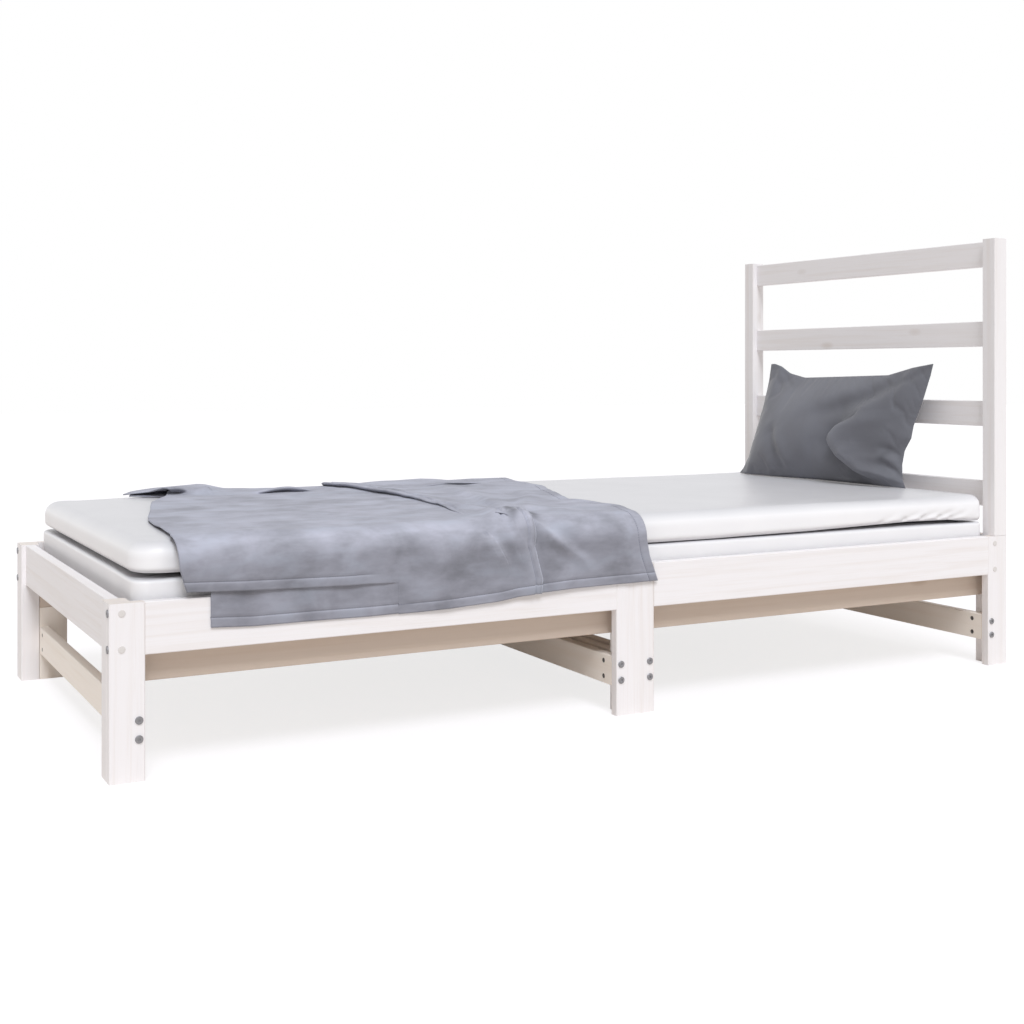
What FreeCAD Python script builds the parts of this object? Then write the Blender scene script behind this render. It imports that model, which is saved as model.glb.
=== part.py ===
import FreeCAD, Part
import math
import os
import re

# Pull-out bench bed in whitewashed pine, closed, with its two mattresses, pillow and throw.
# Two frames stand one inside the other. The wall frame carries the headboard. The pull-out
# frame slides forward on its own legs, and its bed slats run between those of the wall frame.
# X runs from the foot to the headboard, Y from the front to the wall, Z up from the floor.
# The origin is on the floor, at the middle of the closed bed's outline.

SIZES = {
    # The whole bed
    "bed_length": 2100,
    "bed_depth": 960,
    "bed_height": 1010,
    "frame_height": 304,
    # Sawn and planed pine sections
    "board_thick": 21,
    "rail_height": 90,
    "post_side": 39,
    "middle_post_width": 47,
    "edge_ease": 1.5,
    "run_gap": 0.5,
    # Lower cross rails, and the rails and battens that carry the slats
    "cross_rail_height": 60,
    "cross_rail_bottom": 58,
    "support_height": 90,
    "batten_height": 37,
    "inner_leg_width": 60,
    # Bed slats
    "slat_level": 251,
    "slat_lift": 0.3,
    "slat_thick": 17,
    "slat_width": 68,
    "slat_margin": 6,
    # Headboard
    "head_slat_height": 60,
    "head_slat_thick": 18,
    "head_slat_lift": 66.6,
    "head_slat_top_margin": 5,
    "head_slat_back_margin": 6,
    "tenon_length": 10,
    "tenon_gap": 0.3,
    # Bolts, cross nuts, plugs and dowels
    "bolt_shank": 6,
    "bolt_length": 62,
    "edge_bolt_length": 100,
    "bolt_head": 14,
    "bolt_head_thick": 2,
    "bore_gap": 0.4,
    "thread_gap": 0.05,
    "cross_nut_side": 10,
    "cross_nut_inset": 30,
    "lower_bolt_low": 72,
    "lower_bolt_high": 104,
    "upper_bolt_low": 226,
    "upper_bolt_high": 287,
    "plug_side": 13,
    "plug_depth": 4,
    "plug_proud": 0.6,
    "plug_inset_foot": 21,
    "plug_inset_head": 39,
    "dowel_side": 10,
    "dowel_length": 60,
    "dowel_spacing": 20,
    # Mattresses
    "mattress_end_gap": 6,
    "mattress_side_gap": 9,
    "mattress_gap": 0.4,
    "lower_thick": 69,
    "upper_thick": 64,
    "mattress_corner": 50,
    "lower_edge": 10,
    "upper_edge": 28,
    "mattress_crown": 3,
    # Pillow
    "pillow_width": 650,
    "pillow_height": 314,
    "pillow_sag": 30,
    "pillow_lean": 62,
    "pillow_belly": 62,
    "pillow_back": 31,
    "pillow_edge": 6,
    "pillow_base": 70,
    "pillow_shift": 36,
    "pillow_head_gap": 12,
    "pillow_draw": 13,
    "pillow_seat_share": 0.35,
    # Throw
    "throw_stand": 14,
    "throw_layer": 5,
    "throw_clear": 0.6,
    "throw_left": 112,
    "throw_width": 985,
    "throw_skew": 140,
    "throw_lower_start": 54,
    "throw_fold": 600,
    "throw_back_rise": 12,
    "throw_fold_rise": 7,
    "throw_upper_drop": 96,
    "throw_lower_drop": 150,
    "throw_bend": 48,
}

PLACES = {
    # Ends, faces and levels
    "foot_end": "-bed_length / 2",
    "head_end": "bed_length / 2",
    "front_face": "-(bed_depth + bolt_head_thick - throw_stand) / 2",
    "rear_face": "front_face + bed_depth",
    "front_inner": "front_face + board_thick",
    "post_front": "front_inner + run_gap",
    "post_rear": "post_front + post_side",
    "rear_inner": "rear_face - board_thick",
    "rear_post_front": "rear_inner - post_side",
    "inner_leg_rear": "rear_post_front + board_thick",
    "rail_bottom": "frame_height - rail_height",
    "support_bottom": "slat_level - support_height",
    "slat_bottom": "slat_level + slat_lift",
    "slat_top": "slat_bottom + slat_thick",
    # Widths that follow from what stands side by side
    "leg_end_width": "post_side + run_gap + board_thick",
    "leg_middle_width": "middle_post_width + 2 * (run_gap + board_thick)",
    "rail_length": "bed_length / 2 - leg_end_width - leg_middle_width / 2",
    "batten_start": "post_side + run_gap",
    "batten_length": "bed_length / 2 - batten_start - middle_post_width / 2 - run_gap",
    "front_batten_thick": "post_side - board_thick",
    "rear_batten_front": "inner_leg_rear + run_gap",
    "cross_rail_length": "rear_post_front - front_inner",
    "end_board_length": "rear_post_front - post_rear",
    "post_to_post": "bed_length - 2 * post_side",
    # Lower cross rails, from foot to head
    "cross_foot": "foot_end + batten_start",
    "cross_middle_left": "-leg_middle_width / 2",
    "cross_middle_right": "leg_middle_width / 2 - board_thick",
    "cross_head": "head_end - batten_start - board_thick",
    "inner_leg_middle": "middle_post_width / 2 + run_gap",
    # Headboard
    "head_post_bottom": "frame_height + run_gap",
    "head_post_height": "bed_height - head_post_bottom",
    "head_slat_back": "head_end - head_slat_back_margin",
    "head_slat_front": "head_slat_back - head_slat_thick",
    "head_slat_top": "bed_height - head_slat_top_margin - head_slat_height",
    "head_slat_low": "head_post_bottom + head_slat_lift",
    "head_slat_span": "bed_depth - 2 * (post_side - tenon_length)",
    # Bolts
    "bore_radius": "bolt_shank / 2 + bore_gap",
    "nut_radius": "cross_nut_side / 2",
    "nut_bore_radius": "nut_radius + bore_gap",
    "board_middle": "board_thick / 2",
    "post_middle": "post_side / 2",
    # Soft goods
    "mattress_front": "front_inner + mattress_side_gap",
    "mattress_foot": "foot_end + post_side + mattress_end_gap",
    "mattress_width": "rear_inner - front_inner - 2 * mattress_side_gap",
    "mattress_length": "post_to_post - 2 * mattress_end_gap",
    "lower_bottom": "slat_top + mattress_gap",
    "lower_top": "lower_bottom + lower_thick",
    "upper_bottom": "lower_top + mattress_gap",
    "upper_top": "upper_bottom + upper_thick",
    "pillow_bottom": "upper_top + mattress_gap - mattress_crown * pillow_seat_share",
    "pillow_middle": "(front_face + rear_face) / 2 + pillow_shift",
    "pillow_side_radius": "(pillow_height / 2)^2 / (2 * pillow_draw) + pillow_draw / 2",
    "throw_bottom": "upper_top + mattress_gap",
    "throw_upper_hem": "upper_top - throw_upper_drop",
    "throw_lower_hem": "upper_top - throw_lower_drop",
}

SLAT_COUNT = 24
SLATS_PER_NODE = 2
HEAD_SLAT_COUNT = 4
# Bolts, nuts, plugs and dowels are turned, and are drawn with this many sides.
ROD_SIDES = 12

doc = FreeCAD.newDocument("pull_out_bench_bed")


def fill_sheet(name, cells):
    """Put named values in a spreadsheet, one alias a row."""
    sheet = doc.addObject("Spreadsheet::Sheet", name)
    for row, (alias, content) in enumerate(cells.items(), start=1):
        sheet.set("A%d" % row, alias)
        sheet.set("B%d" % row, content)
        sheet.setAlias("B%d" % row, alias)
    doc.recompute()
    return sheet


def in_places(match):
    """Name a size by its sheet, and leave the places of the same sheet as they are."""
    word = match.group(0)
    return "Sizes." + word if word in SIZES else word


def in_document(match):
    """Name a size or a place by its sheet."""
    word = match.group(0)
    if word in SIZES:
        return "Sizes." + word
    return "Places." + word if word in PLACES else word


WORD = re.compile(r"[a-z][a-z_]*")
sizes_sheet = fill_sheet("Sizes", {alias: str(number) for alias, number in SIZES.items()})
places_sheet = fill_sheet(
    "Places", {alias: "=" + WORD.sub(in_places, text) for alias, text in PLACES.items()}
)


def value(alias):
    """The number that a size or a place has now."""
    sheet = sizes_sheet if alias in SIZES else places_sheet
    return float(getattr(sheet, alias))


def bind(item, prop, text):
    """Tie a property to an expression of sizes and places."""
    item.setExpression(prop, WORD.sub(in_document, text))


nodes = []


def node(item, label):
    """Name a finished sub-part."""
    item.Label = label
    nodes.append(item)
    return item


def block(name, x, y, z):
    """A squared piece: x, y and z each give its low side and its length."""
    box = doc.addObject("Part::Box", name)
    for prop, axis, (low, length) in (("Length", "x", x), ("Width", "y", y), ("Height", "z", z)):
        bind(box, prop, length)
        bind(box, "Placement.Base." + axis, low)
    return box


def rod(name, axis, centre, low, length, radius):
    """A slim turned piece along X, Y or Z: centre gives its two other coordinates."""
    turned = doc.addObject("Part::Prism", name)
    turned.Polygon = ROD_SIDES
    turns = {
        "x": FreeCAD.Rotation(FreeCAD.Vector(0, 1, 0), 90),
        "y": FreeCAD.Rotation(FreeCAD.Vector(1, 0, 0), -90),
        "z": FreeCAD.Rotation(),
    }
    turned.Placement = FreeCAD.Placement(FreeCAD.Vector(), turns[axis])
    bind(turned, "Circumradius", radius)
    bind(turned, "Height", length)
    bind(turned, "Placement.Base." + axis, low)
    for other, text in zip([letter for letter in "xyz" if letter != axis], centre):
        bind(turned, "Placement.Base." + other, text)
    return turned


def group(name, members):
    """Several separate solids in one object."""
    compound = doc.addObject("Part::Compound", name)
    compound.Links = members
    return compound


def cut(name, base, tool):
    """One piece with another taken out of it."""
    result = doc.addObject("Part::Cut", name)
    result.Base = base
    result.Tool = tool
    return result


def eased(name, base, axis):
    """A board with its four long edges eased."""
    doc.recompute()
    chamfer = doc.addObject("Part::Chamfer", name)
    chamfer.Base = base
    size = value("edge_ease")
    long_edges = []
    for number, edge in enumerate(base.Shape.Edges, start=1):
        along = edge.tangentAt(edge.FirstParameter)
        if edge.Curve.TypeId == "Part::GeomLine" and abs(getattr(along, axis)) > 0.99:
            long_edges.append((number, size, size))
    chamfer.Edges = long_edges
    return chamfer


def board(label, axis, x, y, z, bores=()):
    """A board or post along one axis, eased and then drilled."""
    piece = eased(label + "_eased", block(label + "_stock", x, y, z), axis)
    for number, tool in enumerate(bores):
        piece = cut("%s_bored_%d" % (label, number), piece, tool)
    return node(piece, label)


# Bolts of the pull-out frame. Each lower cross rail is held by two bolts at each end, which
# screw into cross nuts set through the rail.
CROSS_RAILS = {
    "cross_rail_foot": "cross_foot",
    "cross_rail_middle_left": "cross_middle_left",
    "cross_rail_middle_right": "cross_middle_right",
    "cross_rail_head": "cross_head",
}
LOWER_LEVELS = ("lower_bolt_low", "lower_bolt_high")
UPPER_LEVELS = ("upper_bolt_low", "upper_bolt_high")

bolt_count = 0


def bolt(axis, centre, face, toward, length):
    """A flat-headed bolt and its bore: toward is + or -, the way that the shank points."""
    global bolt_count
    bolt_count += 1
    tag = "bolt_%d" % bolt_count
    head_low = face if toward == "-" else "%s - bolt_head_thick" % face
    shank_low = face if toward == "+" else "%s - %s" % (face, length)
    head = rod(tag + "_head", axis, centre, head_low, "bolt_head_thick", "bolt_head / 2")
    shank = rod(tag + "_shank", axis, centre, shank_low, length, "bolt_shank / 2")
    whole = doc.addObject("Part::Fuse", tag)
    whole.Base = head
    whole.Tool = shank
    bore = rod(tag + "_bore", axis, centre, shank_low + bore_offset(toward),
               length + " + bolt_shank / 2", "bore_radius")
    return whole, bore


def bore_offset(toward):
    """A bore runs past the end of its bolt, so a bore that points back starts lower."""
    return "" if toward == "+" else " - bolt_shank / 2"


front_bolts = []
front_bores = []
inner_bolts = []
inner_bores = []
cross_nuts = []
cross_nut_bores = []
threads = []
for rail, low in CROSS_RAILS.items():
    middle = low + " + board_middle"
    for level in LOWER_LEVELS:
        whole, bore = bolt("y", (middle, level), "front_face", "+", "bolt_length")
        front_bolts.append(whole)
        front_bores.append(bore)
        whole, bore = bolt("y", (middle, level), "inner_leg_rear", "-", "bolt_length")
        inner_bolts.append(whole)
        inner_bores.append(bore)
        for end, seat in (("front", "front_inner + cross_nut_inset"),
                          ("inner", "rear_post_front - cross_nut_inset")):
            tag = "%s_%s_%s" % (rail, end, level)
            nut = rod(tag + "_nut", "x", (seat, level), low, "board_thick", "nut_radius")
            cross_nut_bores.append(
                rod(tag + "_nut_bore", "x", (seat, level), low, "board_thick", "nut_bore_radius")
            )
            cross_nuts.append(nut)
            threads.append(rod(tag + "_thread", "y", (low + " + board_middle", level),
                               seat + " - cross_nut_side", "2 * cross_nut_side",
                               "bolt_shank / 2 + thread_gap"))

edge_bolts = []
edge_bores = []
for face, toward in (("foot_end", "+"), ("head_end", "-")):
    for level in UPPER_LEVELS:
        whole, bore = bolt("x", ("front_face + board_middle", level), face, toward, "edge_bolt_length")
        edge_bolts.append(whole)
        edge_bores.append(bore)

front_bore_set = group("front_bore_set", front_bores)
inner_bore_set = group("inner_bore_set", inner_bores)
edge_bore_set = group("edge_bore_set", edge_bores)
nut_bore_set = group("nut_bore_set", cross_nut_bores)

plugs = []
plug_bores = []
for where, low in (("foot", "foot_end + plug_inset_foot"), ("head", "head_end - plug_inset_head")):
    for level in UPPER_LEVELS:
        tag = "plug_%s_%s" % (where, level)
        plugs.append(rod(tag, "y", (low, level), "front_face - plug_proud",
                         "plug_depth + plug_proud", "plug_side / 2"))
        plug_bores.append(rod(tag + "_bore", "y", (low, level), "front_face",
                              "plug_depth", "plug_side / 2"))
plug_bore_set = group("plug_bore_set", plug_bores)

# The pull-out frame: front legs and rails, which are flush with each other.
LEG_BOTTOM_TO_TOP = ("0", "frame_height")
FRONT_BOARD = ("front_face", "board_thick")
RAIL_LEVELS = ("rail_bottom", "rail_height")
board("front_leg_foot", "z", ("foot_end", "leg_end_width"), FRONT_BOARD, LEG_BOTTOM_TO_TOP,
      (front_bore_set, edge_bore_set, plug_bore_set))
board("front_leg_middle", "z", ("-leg_middle_width / 2", "leg_middle_width"), FRONT_BOARD,
      LEG_BOTTOM_TO_TOP, (front_bore_set,))
board("front_leg_head", "z", ("head_end - leg_end_width", "leg_end_width"), FRONT_BOARD,
      LEG_BOTTOM_TO_TOP, (front_bore_set, edge_bore_set, plug_bore_set))
board("front_rail_foot_half", "x", ("foot_end + leg_end_width", "rail_length"), FRONT_BOARD,
      RAIL_LEVELS, (edge_bore_set,))
board("front_rail_head_half", "x", ("leg_middle_width / 2", "rail_length"), FRONT_BOARD,
      RAIL_LEVELS, (edge_bore_set,))

# Battens behind the front rails, which carry the front ends of the pull-out slats.
BATTEN_LEVELS = ("slat_bottom - batten_height", "batten_height")
FRONT_BATTEN = ("front_inner", "front_batten_thick")
board("front_batten_foot_half", "x", ("foot_end + batten_start", "batten_length"), FRONT_BATTEN,
      BATTEN_LEVELS)
board("front_batten_head_half", "x", ("middle_post_width / 2 + run_gap", "batten_length"),
      FRONT_BATTEN, BATTEN_LEVELS)

# Lower cross rails, which tie the front legs to the inner legs at the back of this frame.
CROSS_LEVELS = ("cross_rail_bottom", "cross_rail_height")
for rail, low in CROSS_RAILS.items():
    board(rail, "y", (low, "board_thick"), ("front_inner", "cross_rail_length"), CROSS_LEVELS,
          (front_bore_set, inner_bore_set, nut_bore_set))

INNER_LEGS = {
    "inner_leg_foot": "cross_foot",
    "inner_leg_middle_left": "-inner_leg_middle - inner_leg_width",
    "inner_leg_middle_right": "inner_leg_middle",
    "inner_leg_head": "cross_head + board_thick - inner_leg_width",
}
INNER_BOARD = ("rear_post_front", "board_thick")
for leg, low in INNER_LEGS.items():
    board(leg, "z", (low, "inner_leg_width"), INNER_BOARD, ("0", "support_bottom"),
          (inner_bore_set,))
board("inner_rear_rail", "x", ("cross_foot", "bed_length - 2 * batten_start"), INNER_BOARD,
      ("support_bottom", "support_height"))

node(group("pull_out_frame_bolts", front_bolts + inner_bolts + edge_bolts), "pull_out_frame_bolts")
node(cut("cross_nuts_threaded", group("cross_nut_blanks", cross_nuts), group("threads", threads)),
     "cross_nuts")
node(group("front_plugs_joined", plugs), "front_plugs")

# The wall frame: posts behind the front legs, corner posts and boards along the wall.
REAR_BOARD = ("rear_inner", "board_thick")
FRONT_POST = ("post_front", "post_side")
REAR_POST = ("rear_post_front", "post_side")
HEAD_POST = ("head_end - post_side", "post_side")
HEAD_POST_LEVELS = ("0", "head_post_bottom")

wall_bolts = []
wall_bores = []
for face, toward in (("foot_end", "+"), ("head_end", "-")):
    for level in UPPER_LEVELS:
        whole, bore = bolt("x", ("rear_face - board_middle", level), face, toward, "edge_bolt_length")
        wall_bolts.append(whole)
        wall_bores.append(bore)
for level in LOWER_LEVELS:
    whole, bore = bolt("y", ("0", level), "rear_face", "-", "bolt_length")
    wall_bolts.append(whole)
    wall_bores.append(bore)
wall_bore_set = group("wall_bore_set", wall_bores)

dowels = []
dowel_bores = []
for end, y in (("near", "(post_front + front_face + post_side) / 2"),
               ("far", "(rear_inner + rear_face - post_side) / 2")):
    for side in ("-", "+"):
        x = "head_end - post_middle %s dowel_spacing / 2" % side
        tag = "dowel_%s_%s" % (end, "left" if side == "-" else "right")
        low = "head_post_bottom - dowel_length / 2"
        dowels.append(rod(tag, "z", (x, y), low, "dowel_length", "dowel_side / 2"))
        dowel_bores.append(rod(tag + "_bore", "z", (x, y), low + " - bore_gap",
                               "dowel_length + 2 * bore_gap", "dowel_side / 2 + bore_gap"))
dowel_bore_set = group("dowel_bore_set", dowel_bores)

board("wall_post_foot", "z", ("foot_end", "post_side"), FRONT_POST, LEG_BOTTOM_TO_TOP)
board("wall_post_head", "z", HEAD_POST, FRONT_POST, HEAD_POST_LEVELS, (dowel_bore_set,))
lap = block("support_lap", ("-middle_post_width", "2 * middle_post_width"),
            ("post_rear - board_thick", "2 * board_thick"), ("support_bottom", "support_height"))
board("wall_post_middle", "z", ("-middle_post_width / 2", "middle_post_width"), FRONT_POST,
      ("0", "slat_level"), (lap,))
board("support_rail", "x", ("foot_end + post_side", "post_to_post"),
      ("post_rear - board_thick", "board_thick"), ("support_bottom", "support_height"))
board("rear_post_foot", "z", ("foot_end", "post_side"), REAR_POST, LEG_BOTTOM_TO_TOP)
board("rear_post_head", "z", HEAD_POST, REAR_POST, HEAD_POST_LEVELS, (dowel_bore_set,))
END_SPAN = ("post_rear", "end_board_length")
board("end_board_foot", "y", ("foot_end + post_middle - board_middle", "board_thick"), END_SPAN,
      RAIL_LEVELS)
board("end_board_head", "y", ("head_end - post_middle - board_middle", "board_thick"), END_SPAN,
      RAIL_LEVELS)
board("rear_leg_foot", "z", ("foot_end", "leg_end_width"), REAR_BOARD, LEG_BOTTOM_TO_TOP,
      (wall_bore_set,))
board("rear_leg_middle", "z", ("-leg_middle_width / 2", "leg_middle_width"), REAR_BOARD,
      LEG_BOTTOM_TO_TOP, (wall_bore_set,))
board("rear_leg_head", "z", ("head_end - leg_end_width", "leg_end_width"), REAR_BOARD,
      LEG_BOTTOM_TO_TOP, (wall_bore_set,))
board("rear_rail_foot_half", "x", ("foot_end + leg_end_width", "rail_length"), REAR_BOARD,
      RAIL_LEVELS, (wall_bore_set,))
board("rear_rail_head_half", "x", ("leg_middle_width / 2", "rail_length"), REAR_BOARD,
      RAIL_LEVELS, (wall_bore_set,))
board("rear_batten", "x", ("foot_end + post_side", "post_to_post"),
      ("rear_batten_front", "rear_inner - rear_batten_front"), BATTEN_LEVELS)
board("wall_cross_rail", "y", ("-board_middle", "board_thick"),
      ("post_rear", "rear_inner - post_rear"), CROSS_LEVELS, (wall_bore_set,))
node(group("wall_frame_bolts_joined", wall_bolts), "wall_frame_bolts")

# The headboard: four slats whose ends are let into two posts.
mortises = []
for number in range(HEAD_SLAT_COUNT):
    level = "head_slat_top - (head_slat_top - head_slat_low) * %d / %d" % (
        number, HEAD_SLAT_COUNT - 1)
    mortises.append(
        block("mortise_%d" % number,
              ("head_slat_front - tenon_gap", "head_slat_thick + 2 * tenon_gap"),
              ("front_face + post_side - tenon_length - tenon_gap",
               "head_slat_span + 2 * tenon_gap"),
              (level + " - tenon_gap", "head_slat_height + 2 * tenon_gap"))
    )
    board("headboard_slat_%d" % (number + 1), "y", ("head_slat_front", "head_slat_thick"),
          ("front_face + post_side - tenon_length", "head_slat_span"),
          (level, "head_slat_height"))
mortise_set = group("mortise_set", mortises)
HEADBOARD_LEVELS = ("head_post_bottom", "head_post_height")
board("headboard_post_front", "z", HEAD_POST, ("front_face", "post_side"), HEADBOARD_LEVELS,
      (mortise_set, dowel_bore_set))
board("headboard_post_wall", "z", HEAD_POST, ("rear_face - post_side", "post_side"),
      HEADBOARD_LEVELS, (mortise_set, dowel_bore_set))
node(group("headboard_dowels_joined", dowels), "headboard_dowels")

# Bed slats, which belong to the two frames by turns, so that one set slides between the other.
SLAT_PITCH = "(post_to_post - 2 * slat_margin) / %d" % SLAT_COUNT
SLAT_SETS = (
    ("pull_out_slats", 0, ("front_inner", "inner_leg_rear - front_inner")),
    ("wall_slats", 1, ("post_rear - board_thick", "rear_inner - post_rear + board_thick")),
)
for set_name, first, span in SLAT_SETS:
    members = []
    for number in range(first, SLAT_COUNT, 2):
        centre = "foot_end + post_side + slat_margin + %s * %d" % (SLAT_PITCH, number)
        low = centre + " + (%s - slat_width) / 2" % SLAT_PITCH
        name = "%s_%d" % (set_name, number)
        stock = block(name + "_stock", (low, "slat_width"), span, ("slat_bottom", "slat_thick"))
        members.append(eased(name + "_eased", stock, "y"))
    for start in range(0, len(members), SLATS_PER_NODE):
        label = "%s_%d" % (set_name, start // SLATS_PER_NODE + 1)
        node(group(label + "_joined", members[start:start + SLATS_PER_NODE]), label)


# Soft goods. Each is a loft through sections of lines and arcs.
def vector(x, y, z):
    return FreeCAD.Vector(x, y, z)


def rounded_section(x_low, x_high, y_low, y_high, z, corner):
    """A level rectangle with rounded corners."""
    shift = corner * (1 - math.sqrt(0.5))
    lines = []
    corners = (
        (x_high, y_low, -1, 1), (x_high, y_high, -1, -1), (x_low, y_high, 1, -1), (x_low, y_low, 1, 1)
    )
    arcs = []
    for number, (x, y, inward_x, inward_y) in enumerate(corners):
        along_x = vector(x + inward_x * corner, y, z)
        along_y = vector(x, y + inward_y * corner, z)
        middle = vector(x + inward_x * shift, y + inward_y * shift, z)
        start, end = (along_x, along_y) if number % 2 == 0 else (along_y, along_x)
        arcs.append((start, middle, end))
    edges = []
    for number, (start, middle, end) in enumerate(arcs):
        edges.append(Part.Arc(start, middle, end).toShape())
        following = arcs[(number + 1) % len(arcs)][0]
        edges.append(Part.LineSegment(end, following).toShape())
    return Part.Wire(edges)


def mattress(label, bottom, top, edge, crown):
    """A foam mattress: rounded edges and corners, and a low crown on top if it has one."""
    length = value("mattress_length")
    width = value("mattress_width")
    x_low = value("mattress_foot")
    y_low = value("mattress_front")
    corner = value("mattress_corner")
    round_steps = 2
    sections = []
    quarter = [math.pi / 2 * step / round_steps for step in range(round_steps + 1)]
    levels = [(edge * (1 - math.sin(turn)), bottom + edge * (1 - math.cos(turn))) for turn in quarter]
    shoulder = top - crown
    levels += [(edge * (1 - math.cos(turn)), shoulder - edge * (1 - math.sin(turn)))
               for turn in quarter]
    crown_inset_shares = (0.12, 0.32)
    crown_rise_shares = (0.6, 1.0)
    if crown:
        for inset_share, rise_share in zip(crown_inset_shares, crown_rise_shares):
            levels.append((width * inset_share, shoulder + crown * rise_share))
    for inset, z in levels:
        reach = max(corner - inset, corner / 4)
        sections.append(rounded_section(x_low + inset, x_low + length - inset,
                                        y_low + inset, y_low + width - inset, z, reach))
    item = doc.addObject("Part::Feature", label)
    item.Shape = Part.makeLoft(sections, True, True)
    return node(item, label)


mattress("lower_mattress", value("lower_bottom"), value("lower_top"), value("lower_edge"), 0)
mattress("upper_mattress", value("upper_bottom"), value("upper_top"), value("upper_edge"),
         value("mattress_crown"))


def pillow(label):
    """A pillow that leans on the headboard: crowned, with its edges drawn in between the corners."""
    width = value("pillow_width")
    height = value("pillow_height")
    bottom = value("pillow_bottom")
    middle_y = value("pillow_middle")
    top_x = value("head_end") - value("post_side") - value("pillow_head_gap")
    base_x = top_x - value("pillow_lean")
    station_shares = (-1.0, -0.8, -0.3, 0.3, 0.8, 1.0)
    fullness_shares = (0.0, 0.58, 1.0, 1.0, 0.58, 0.0)
    sections = []
    for share, fullness in zip(station_shares, fullness_shares):
        y = middle_y + share * width / 2
        top = bottom + height - value("pillow_sag") * (1 - share ** 4)
        belly = value("pillow_edge") + value("pillow_belly") * fullness
        back = value("pillow_edge") + value("pillow_back") * fullness
        base = value("pillow_edge") + value("pillow_base") * fullness
        base_front = vector(base_x - base / 2, y, bottom)
        base_back = vector(base_x + base / 2, y, bottom)
        tip = vector(top_x, y, top)
        lean = (tip - vector(base_x, y, bottom)).normalize()
        outward = vector(-lean.z, 0, lean.x)
        waist = (tip + vector(base_x, y, bottom)) / 2
        front_arc = Part.Arc(base_front, waist + outward * belly, tip)
        back_arc = Part.Arc(tip, waist - outward * back, base_back)
        base_line = Part.LineSegment(base_back, base_front)
        sections.append(Part.Wire([front_arc.toShape(), back_arc.toShape(), base_line.toShape()]))
    filled = doc.addObject("Part::Feature", label + "_filled")
    filled.Shape = Part.makeLoft(sections, True, True)
    hollows = []
    for side, edge in (("near", "pillow_middle - pillow_width / 2 + pillow_draw - pillow_side_radius"),
                       ("far", "pillow_middle + pillow_width / 2 - pillow_draw + pillow_side_radius")):
        hollow = doc.addObject("Part::Cylinder", "%s_%s_hollow" % (label, side))
        hollow.Placement.Rotation = FreeCAD.Rotation(FreeCAD.Vector(0, 1, 0), 90)
        bind(hollow, "Radius", "pillow_side_radius")
        bind(hollow, "Height", "2 * pillow_height")
        bind(hollow, "Placement.Base.x", "head_end - 2 * pillow_height")
        bind(hollow, "Placement.Base.y", edge)
        bind(hollow, "Placement.Base.z", "pillow_bottom + pillow_height / 2")
        hollows.append(hollow)
    return node(cut(label + "_drawn_in", filled, group(label + "_hollows", hollows)), label)


pillow("pillow")


def throw_section(station, under_hem, over_hem, stand, top_rise, back_rise):
    """One slice of the throw, from the back edge over the mattress and down the front."""
    layer = value("throw_layer")
    clear = value("throw_clear")
    bend = value("throw_bend")
    y_back = value("mattress_front") + value("mattress_width")
    y_front = value("front_face")
    low = value("throw_bottom")
    skew = value("throw_skew") / (y_back - y_front)

    def at(y, z):
        return vector(station + skew * (y - y_front), y, z)

    def turn(radius_y, radius_z, centre_y, centre_z):
        """The three points of a quarter bend, from the top to the front."""
        half = math.sqrt(0.5)
        return (at(centre_y, centre_z + radius_z),
                at(centre_y - half * radius_y, centre_z + half * radius_z),
                at(centre_y - radius_y, centre_z))

    inner_y = y_front - clear
    step_y = inner_y - layer
    outer_y = step_y - stand
    centre_y = inner_y + bend
    centre_z = low - bend
    top_z = low + layer + top_rise
    inner = turn(bend, bend, centre_y, centre_z)
    outer = turn(centre_y - outer_y, top_z - centre_z, centre_y, centre_z)
    corners = [at(y_back, low), inner[0]]
    edges = [Part.LineSegment(*corners).toShape(), Part.Arc(*inner).toShape()]
    down = [inner[2], at(inner_y, under_hem), at(step_y, under_hem), at(step_y, over_hem),
            at(outer_y, over_hem), outer[2]]
    edges += [Part.LineSegment(a, b).toShape() for a, b in zip(down, down[1:])]
    edges.append(Part.Arc(*reversed(outer)).toShape())
    back = [outer[0], at(y_back, low + layer + back_rise), corners[0]]
    edges += [Part.LineSegment(a, b).toShape() for a, b in zip(back, back[1:])]
    return Part.Wire(edges)


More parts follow.
